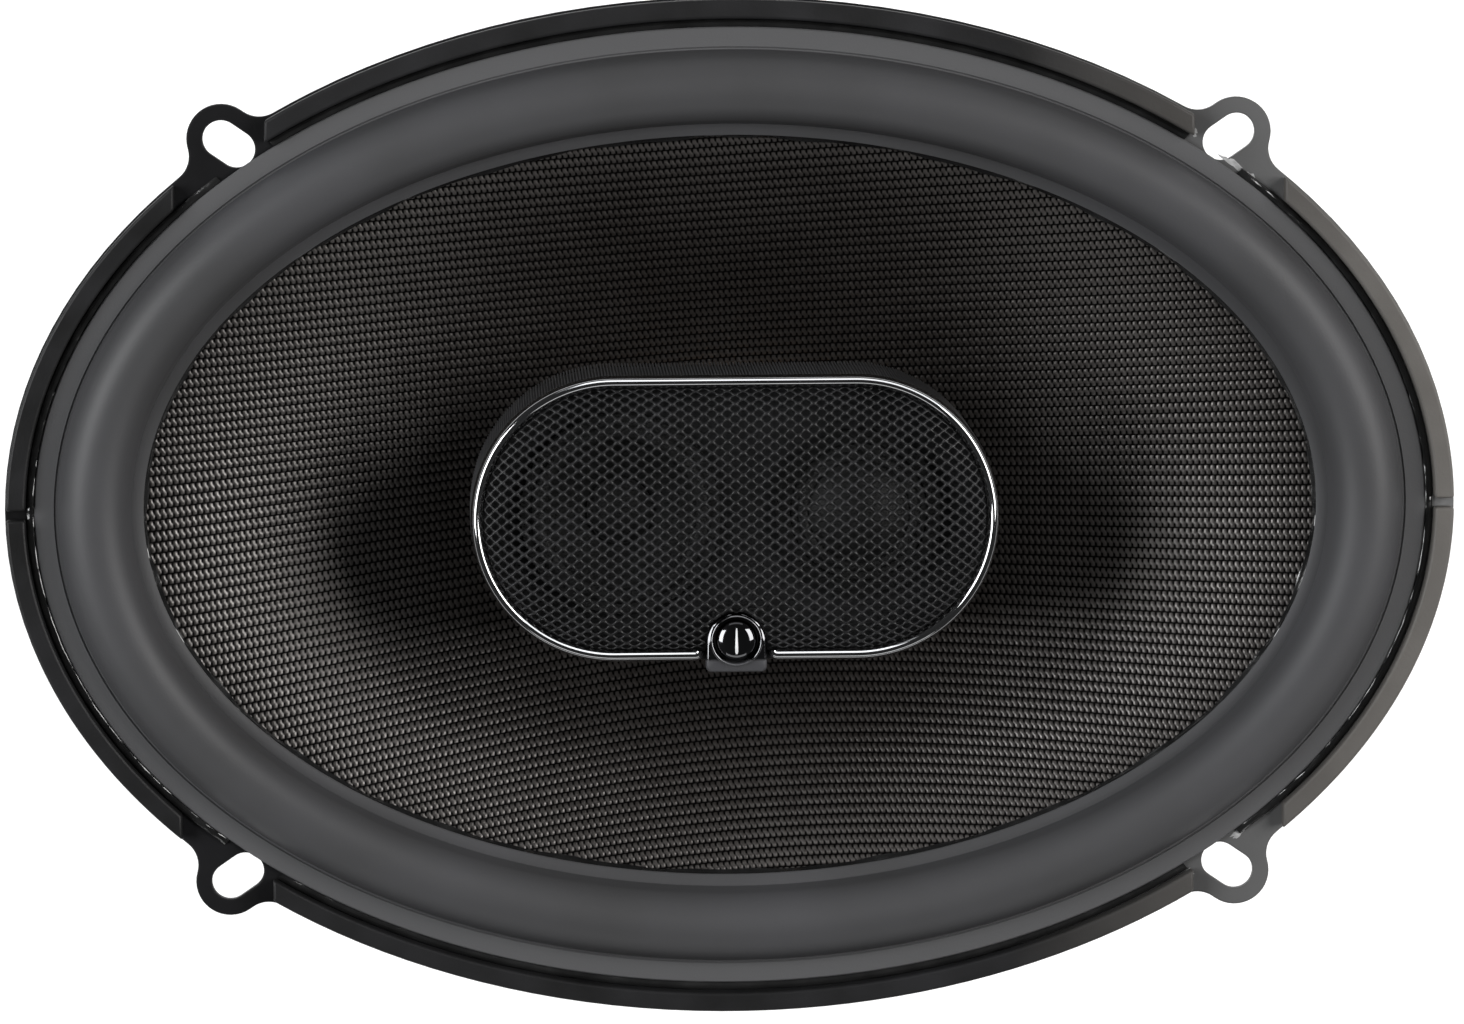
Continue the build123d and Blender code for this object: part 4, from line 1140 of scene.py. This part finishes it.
def grille_tree(name, material):
    """Repeats the cell on flat points, welds the cells, and presses the sheet over the pod's dome."""
    tree, given = new_tree(name, Cell="Object", HalfSpan="Float", EdgeRadius="Float", EdgeHeight="Float",
                           Rise="Float", Flat="Float", Slack="Float")
    spots = put(tree, "GeometryNodeMeshToPoints", {0: given["Geometry"]}).outputs[0]
    cell = put(tree, "GeometryNodeObjectInfo", {"Object": given["Cell"]}).outputs["Geometry"]
    sheet = put(tree, "GeometryNodeInstanceOnPoints", {"Points": spots, "Instance": cell}).outputs[0]
    sheet = put(tree, "GeometryNodeRealizeInstances", {0: sheet}).outputs[0]
    sheet = put(tree, "GeometryNodeMergeByDistance", {0: sheet, "Distance": 0.00002}).outputs[0]
    place = split(tree, put(tree, "GeometryNodeInputPosition").outputs[0])
    left = times(tree, given["HalfSpan"], -1.0)
    spine = combine(tree, "MINIMUM", combine(tree, "MAXIMUM", place["X"], left), given["HalfSpan"])
    away = combine(tree, "SUBTRACT", place["X"], spine)
    reach = math_chain(tree, times(tree, away, away), ("ADD", times(tree, place["Y"], place["Y"])),
                       ("SQRT", 0.0), ("MAXIMUM", 1e-6))
    spare = combine(tree, "SUBTRACT", given["Slack"], given["Flat"])
    share = math_chain(tree, combine(tree, "SUBTRACT", reach, given["Flat"]), ("DIVIDE", spare),
                       ("MAXIMUM", 0.0), ("MINIMUM", 1.0))
    drawn_in = math_chain(tree, combine(tree, "SUBTRACT", 1.0, share), ("POWER", 1.3))
    band = combine(tree, "SUBTRACT", given["EdgeRadius"], given["Flat"])
    bent = times_plus(tree, combine(tree, "SUBTRACT", 1.0, drawn_in), band, given["Flat"])
    kept = combine(tree, "MINIMUM", reach, given["Flat"])
    inside = combine(tree, "LESS_THAN", reach, given["Flat"])
    outside = combine(tree, "SUBTRACT", 1.0, inside)
    plan = times_plus(tree, kept, inside, times(tree, bent, outside))
    scale = combine(tree, "DIVIDE", plan, reach)
    dome = math_chain(tree, plan, ("DIVIDE", given["EdgeRadius"]), ("MINIMUM", 1.0), ("POWER", 6.0))
    lift = math_chain(tree, combine(tree, "SUBTRACT", 1.0, dome), ("SQRT", 0.0), ("MULTIPLY", given["Rise"]),
                      ("ADD", given["EdgeHeight"]), ("ADD", place["Z"]))
    moved = put(tree, "ShaderNodeCombineXYZ", {"X": times_plus(tree, away, scale, spine), "Z": lift,
                                               "Y": times(tree, place["Y"], scale)})
    sheet = put(tree, "GeometryNodeSetPosition", {0: sheet, "Position": moved.outputs[0]}).outputs[0]
    output_of(tree, sheet, material)
    return tree


cell_spots = []
for i in range(-40, 41):
    for j in range(-28, 29):
        x, y = i * diamond_long / 2, j * diamond_short / 2
        beyond = math.hypot(max(abs(x) - pod_half_span, 0.0), y)
        if (i + j) % 2 == 0 and beyond < grille_slack - 0.5:
            cell_spots.append((x * millimetre, y * millimetre, 0.0))
spot_mesh = bpy.data.meshes.new("grille_spots")
spot_mesh.from_pydata(cell_spots, [], [])
cell = loose_object("grille_cell", diamond_cell("grille_cell"))
grille_mesh = grown("grille_mesh", grille_tree("grille", grille_black), spot_mesh, Cell=cell,
                    HalfSpan=pod_half_span * millimetre, EdgeRadius=grille_edge_radius * millimetre,
                    EdgeHeight=grille_edge_z * millimetre, Rise=grille_rise * millimetre,
                    Flat=grille_flat * millimetre, Slack=grille_slack * millimetre)
bpy.data.objects.remove(cell)
cut = bmesh.new()
cut.from_mesh(grille_mesh)
under_housing = []
for face in cut.faces:
    x, y = (value / millimetre for value in face.calc_center_median()[:2])
    if (math.hypot(x, y - arch_y) if y > arch_y else abs(x)) < arch_radius + 0.1:
        under_housing.append(face)
bmesh.ops.delete(cut, geom=under_housing, context="FACES")
cut.to_mesh(grille_mesh)
cut.free()
grille_mesh.shade_smooth()
grille_mesh.set_sharp_from_angle(angle=math.radians(75))
show("grille_mesh", grille_mesh, grille_black, stands_for=["grille"])

# ================================================================ trim ring
# Plastic ring plated in black chrome and clipped over the grille's edge, with a broad rounded shoulder and
# a slope down to the mesh. It stops on each side of the knob's housing, where its ends turn inwards.
chrome = finish("trim_chrome", (grey(0.28), grey(0.33, 0.006)), (0.04, 0.08), grain=300.0, depth=0.0,
                wander=60.0, metallic=1.0)
trim_low, trim_high = (corner.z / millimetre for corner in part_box("trim_ring"))
trim_outer = 23.05
trim_inner = 21.0
trim_crest = 22.0
shoulder_fall = 1.55
inner_fall = 0.95
trim_outline = [(trim_outer, trim_low), (trim_outer, trim_high - shoulder_fall)]
for step in range(1, 13):
    lift = math.pi / 2 * step / 12
    trim_outline.append((trim_crest + (trim_outer - trim_crest) * math.cos(lift),
                         trim_high - shoulder_fall + shoulder_fall * math.sin(lift)))
for step in range(1, 7):
    share = step / 6
    inward = trim_crest - (trim_crest - trim_inner) * share
    trim_outline.append((inward, trim_high - inner_fall * share ** 1.6))
trim_outline += [(trim_inner, trim_low + 0.2), (trim_inner + 0.2, trim_low)]
hook_radius = 21.35
hook_x = 6.65
hook_turns = [math.pi / 2 * k / 6 for k in range(7)]
stations = [(hook_x, -hook_radius, math.pi + turn, hook_radius) for turn in hook_turns]
stations += [station for station in stadium_stations(64, 8)
             if not (abs(station[0]) < hook_x + 0.5 and station[2] < 0)]
stations += [(-hook_x, -hook_radius, -math.pi / 2 + turn, hook_radius) for turn in hook_turns]
trim_loops = [[(*stadium_point(station, radius), z) for radius, z in trim_outline] for station in stations]
trim_band = show("trim_band", skin("trim_band", trim_loops, ring=False), chrome,
                 stands_for=["trim_ring"])
plated_pieces.objects.link(trim_band)

# ================================================================ level knob in its housing
# A dark chromed arch-shaped housing with a rolled lip and a matte foot, and a small domed knob that turns
# in it and works the tweeter's level switch. A raised ridge across the knob shows where it points.
dark_chrome = finish("dark_chrome", (grey(0.075, 0.003), grey(0.10, 0.004)), (0.05, 0.10), grain=300.0,
                     depth=0.0, wander=200.0, metallic=1.0)
housing_tree = dark_chrome.node_tree
housing_shader = housing_tree.nodes["Principled BSDF"]
toward_far = split(housing_tree, object_place(housing_tree))["Y"]
on_foot = ranged(housing_tree, toward_far, 1.0, 0.0, -0.0232, -0.0226)
plated, smooth = (housing_shader.inputs[name].links[0].from_socket for name in ("Base Color", "Roughness"))
foot_tone = mixed(housing_tree, on_foot, plated, grey(0.030, 0.003))
matte = combine(housing_tree, "MAXIMUM", smooth, times(housing_tree, on_foot, 0.5))
housing_tree.links.new(foot_tone, housing_shader.inputs["Base Color"])
housing_tree.links.new(matte, housing_shader.inputs["Roughness"])
housing_tree.links.new(combine(housing_tree, "SUBTRACT", 1.0, on_foot), housing_shader.inputs["Metallic"])
knob_chrome = finish("knob_chrome", (grey(0.07, 0.003), grey(0.10, 0.004)), (0.05, 0.10), grain=300.0,
                     depth=0.0, wander=200.0, metallic=1.0)
knob_low, knob_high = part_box("level_knob")
knob_y = (knob_low.y + knob_high.y) / 2 / millimetre
housing_low, housing_high = (corner.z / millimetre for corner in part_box("knob_bezel"))
foot_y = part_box("knob_bezel")[0].y / millimetre
foot_corner = 0.9
rim_z = housing_high - 0.5
recess_radius = 3.75
recess_z = 16.6
bore_radius = 1.26


def arch_reach(heading):
    """How far the housing's outline is from the knob's axis in one direction."""
    c, s = math.cos(heading), math.sin(heading)
    down = knob_y - arch_y
    circle_reach = -down * s + math.sqrt((down * s) ** 2 - down ** 2 + arch_radius ** 2)
    if knob_y + circle_reach * s >= arch_y:
        return circle_reach
    half, fall = arch_radius - foot_corner, knob_y - foot_y - foot_corner
    near = min(arch_radius / max(abs(c), 1e-6), (knob_y - foot_y) / max(-s, 1e-6))
    if abs(near * c) > half and -near * s > fall:
        along = half * abs(c) - fall * s
        near = along + math.sqrt(along ** 2 - half ** 2 - fall ** 2 + foot_corner ** 2)
    return near


def housing_section(heading):
    """Cut from the outer wall, over the rolled lip, down the recess and through the bore."""
    reach = arch_reach(heading)
    fall = 0.55 * max(0.0, -math.sin(heading) - 0.55) * (reach - arch_radius) / 1.2
    round_z = rim_z - 0.75 - fall
    line = [(reach, housing_low), (reach, round_z)]
    for step in range(1, 6):
        lean = math.pi / 2 * step / 6
        line.append((reach - 0.62 * (1 - math.cos(lean)), round_z + 0.75 * math.sin(lean)))
    line += [(recess_radius + 0.50, rim_z + 0.02), (recess_radius + 0.40, rim_z + 0.12)]
    lip_z = rim_z + 0.18
    for step in range(1, 6):
        lean = math.pi * step / 6
        line.append((recess_radius + 0.2 + 0.2 * math.cos(lean),
                     lip_z + (housing_high - lip_z) * math.sin(lean)))
    line += [(recess_radius, rim_z + 0.1), (recess_radius - 0.02, recess_z + 0.15),
             (recess_radius - 0.18, recess_z), (bore_radius + 0.1, recess_z), (bore_radius, recess_z - 0.1),
             (bore_radius, housing_low)]
    return [(radius * math.cos(heading), knob_y + radius * math.sin(heading), z) for radius, z in line]


housing_steps = 160
housing_loops = [housing_section(2 * math.pi * k / housing_steps) for k in range(housing_steps)]
housing_mesh = skin("knob_housing", housing_loops)
knob_housing = show("knob_housing", housing_mesh, dark_chrome, stands_for=["knob_bezel"])
plated_pieces.objects.link(knob_housing)
knob_top = 19.6
knob_shoulder = 18.2
knob_radius = 3.35
knob_line = [(1.2, knob_low.z / millimetre), (1.2, 16.8), (knob_radius - 0.15, 16.8), (knob_radius, 16.95),
             (knob_radius, knob_shoulder - 0.25)]
for step in range(9):
    lean = math.pi / 2 * step / 8
    knob_line.append((knob_radius * math.cos(lean) ** 0.8,
                      knob_shoulder - 0.05 + (knob_top - knob_shoulder + 0.05) * math.sin(lean)))
knob_line.append((0.0, knob_low.z / millimetre))
knob_mesh = turned("knob_cap", knob_line, 64)
knob_mesh.transform(Matrix.Translation((0, knob_y * millimetre, 0)))
show("knob_cap", knob_mesh, knob_chrome, "knob_body", stands_for=["level_knob"])

pointer_half_length = 2.1
pointer_half_width = 0.2
pointer_loops = []
for step in range(13):
    share = -1 + 2 * step / 12
    y = knob_y + share * pointer_half_length
    dome = knob_shoulder - 0.05 + (knob_top - knob_shoulder + 0.05) * math.sqrt(
        1 - (abs(share) * pointer_half_length / knob_radius) ** 2.5)
    top = dome + 0.14 * math.sqrt(1 - 0.95 * share * share)
    thin = pointer_half_width * (1.0 - 0.3 * share)
    pointer_loops.append([(-thin, y, dome - 0.3), (-thin, y, top - 0.10), (-thin * 0.35, y, top),
                          (thin * 0.35, y, top), (thin, y, top - 0.10), (thin, y, dome - 0.3)])
pointer_satin = finish("pointer_satin", (grey(0.70), grey(0.80, 0.01)), (0.25, 0.35), depth=0.00001,
                       metallic=0.25)
show("knob_ridge", skin("knob_ridge", pointer_loops, ring=False), pointer_satin, "knob_body",
     stands_for=["knob_pointer"])
dress(finish("switch_plastic", (grey(0.016), grey(0.022)), (0.35, 0.5), edge=0.0003), "level_switch")
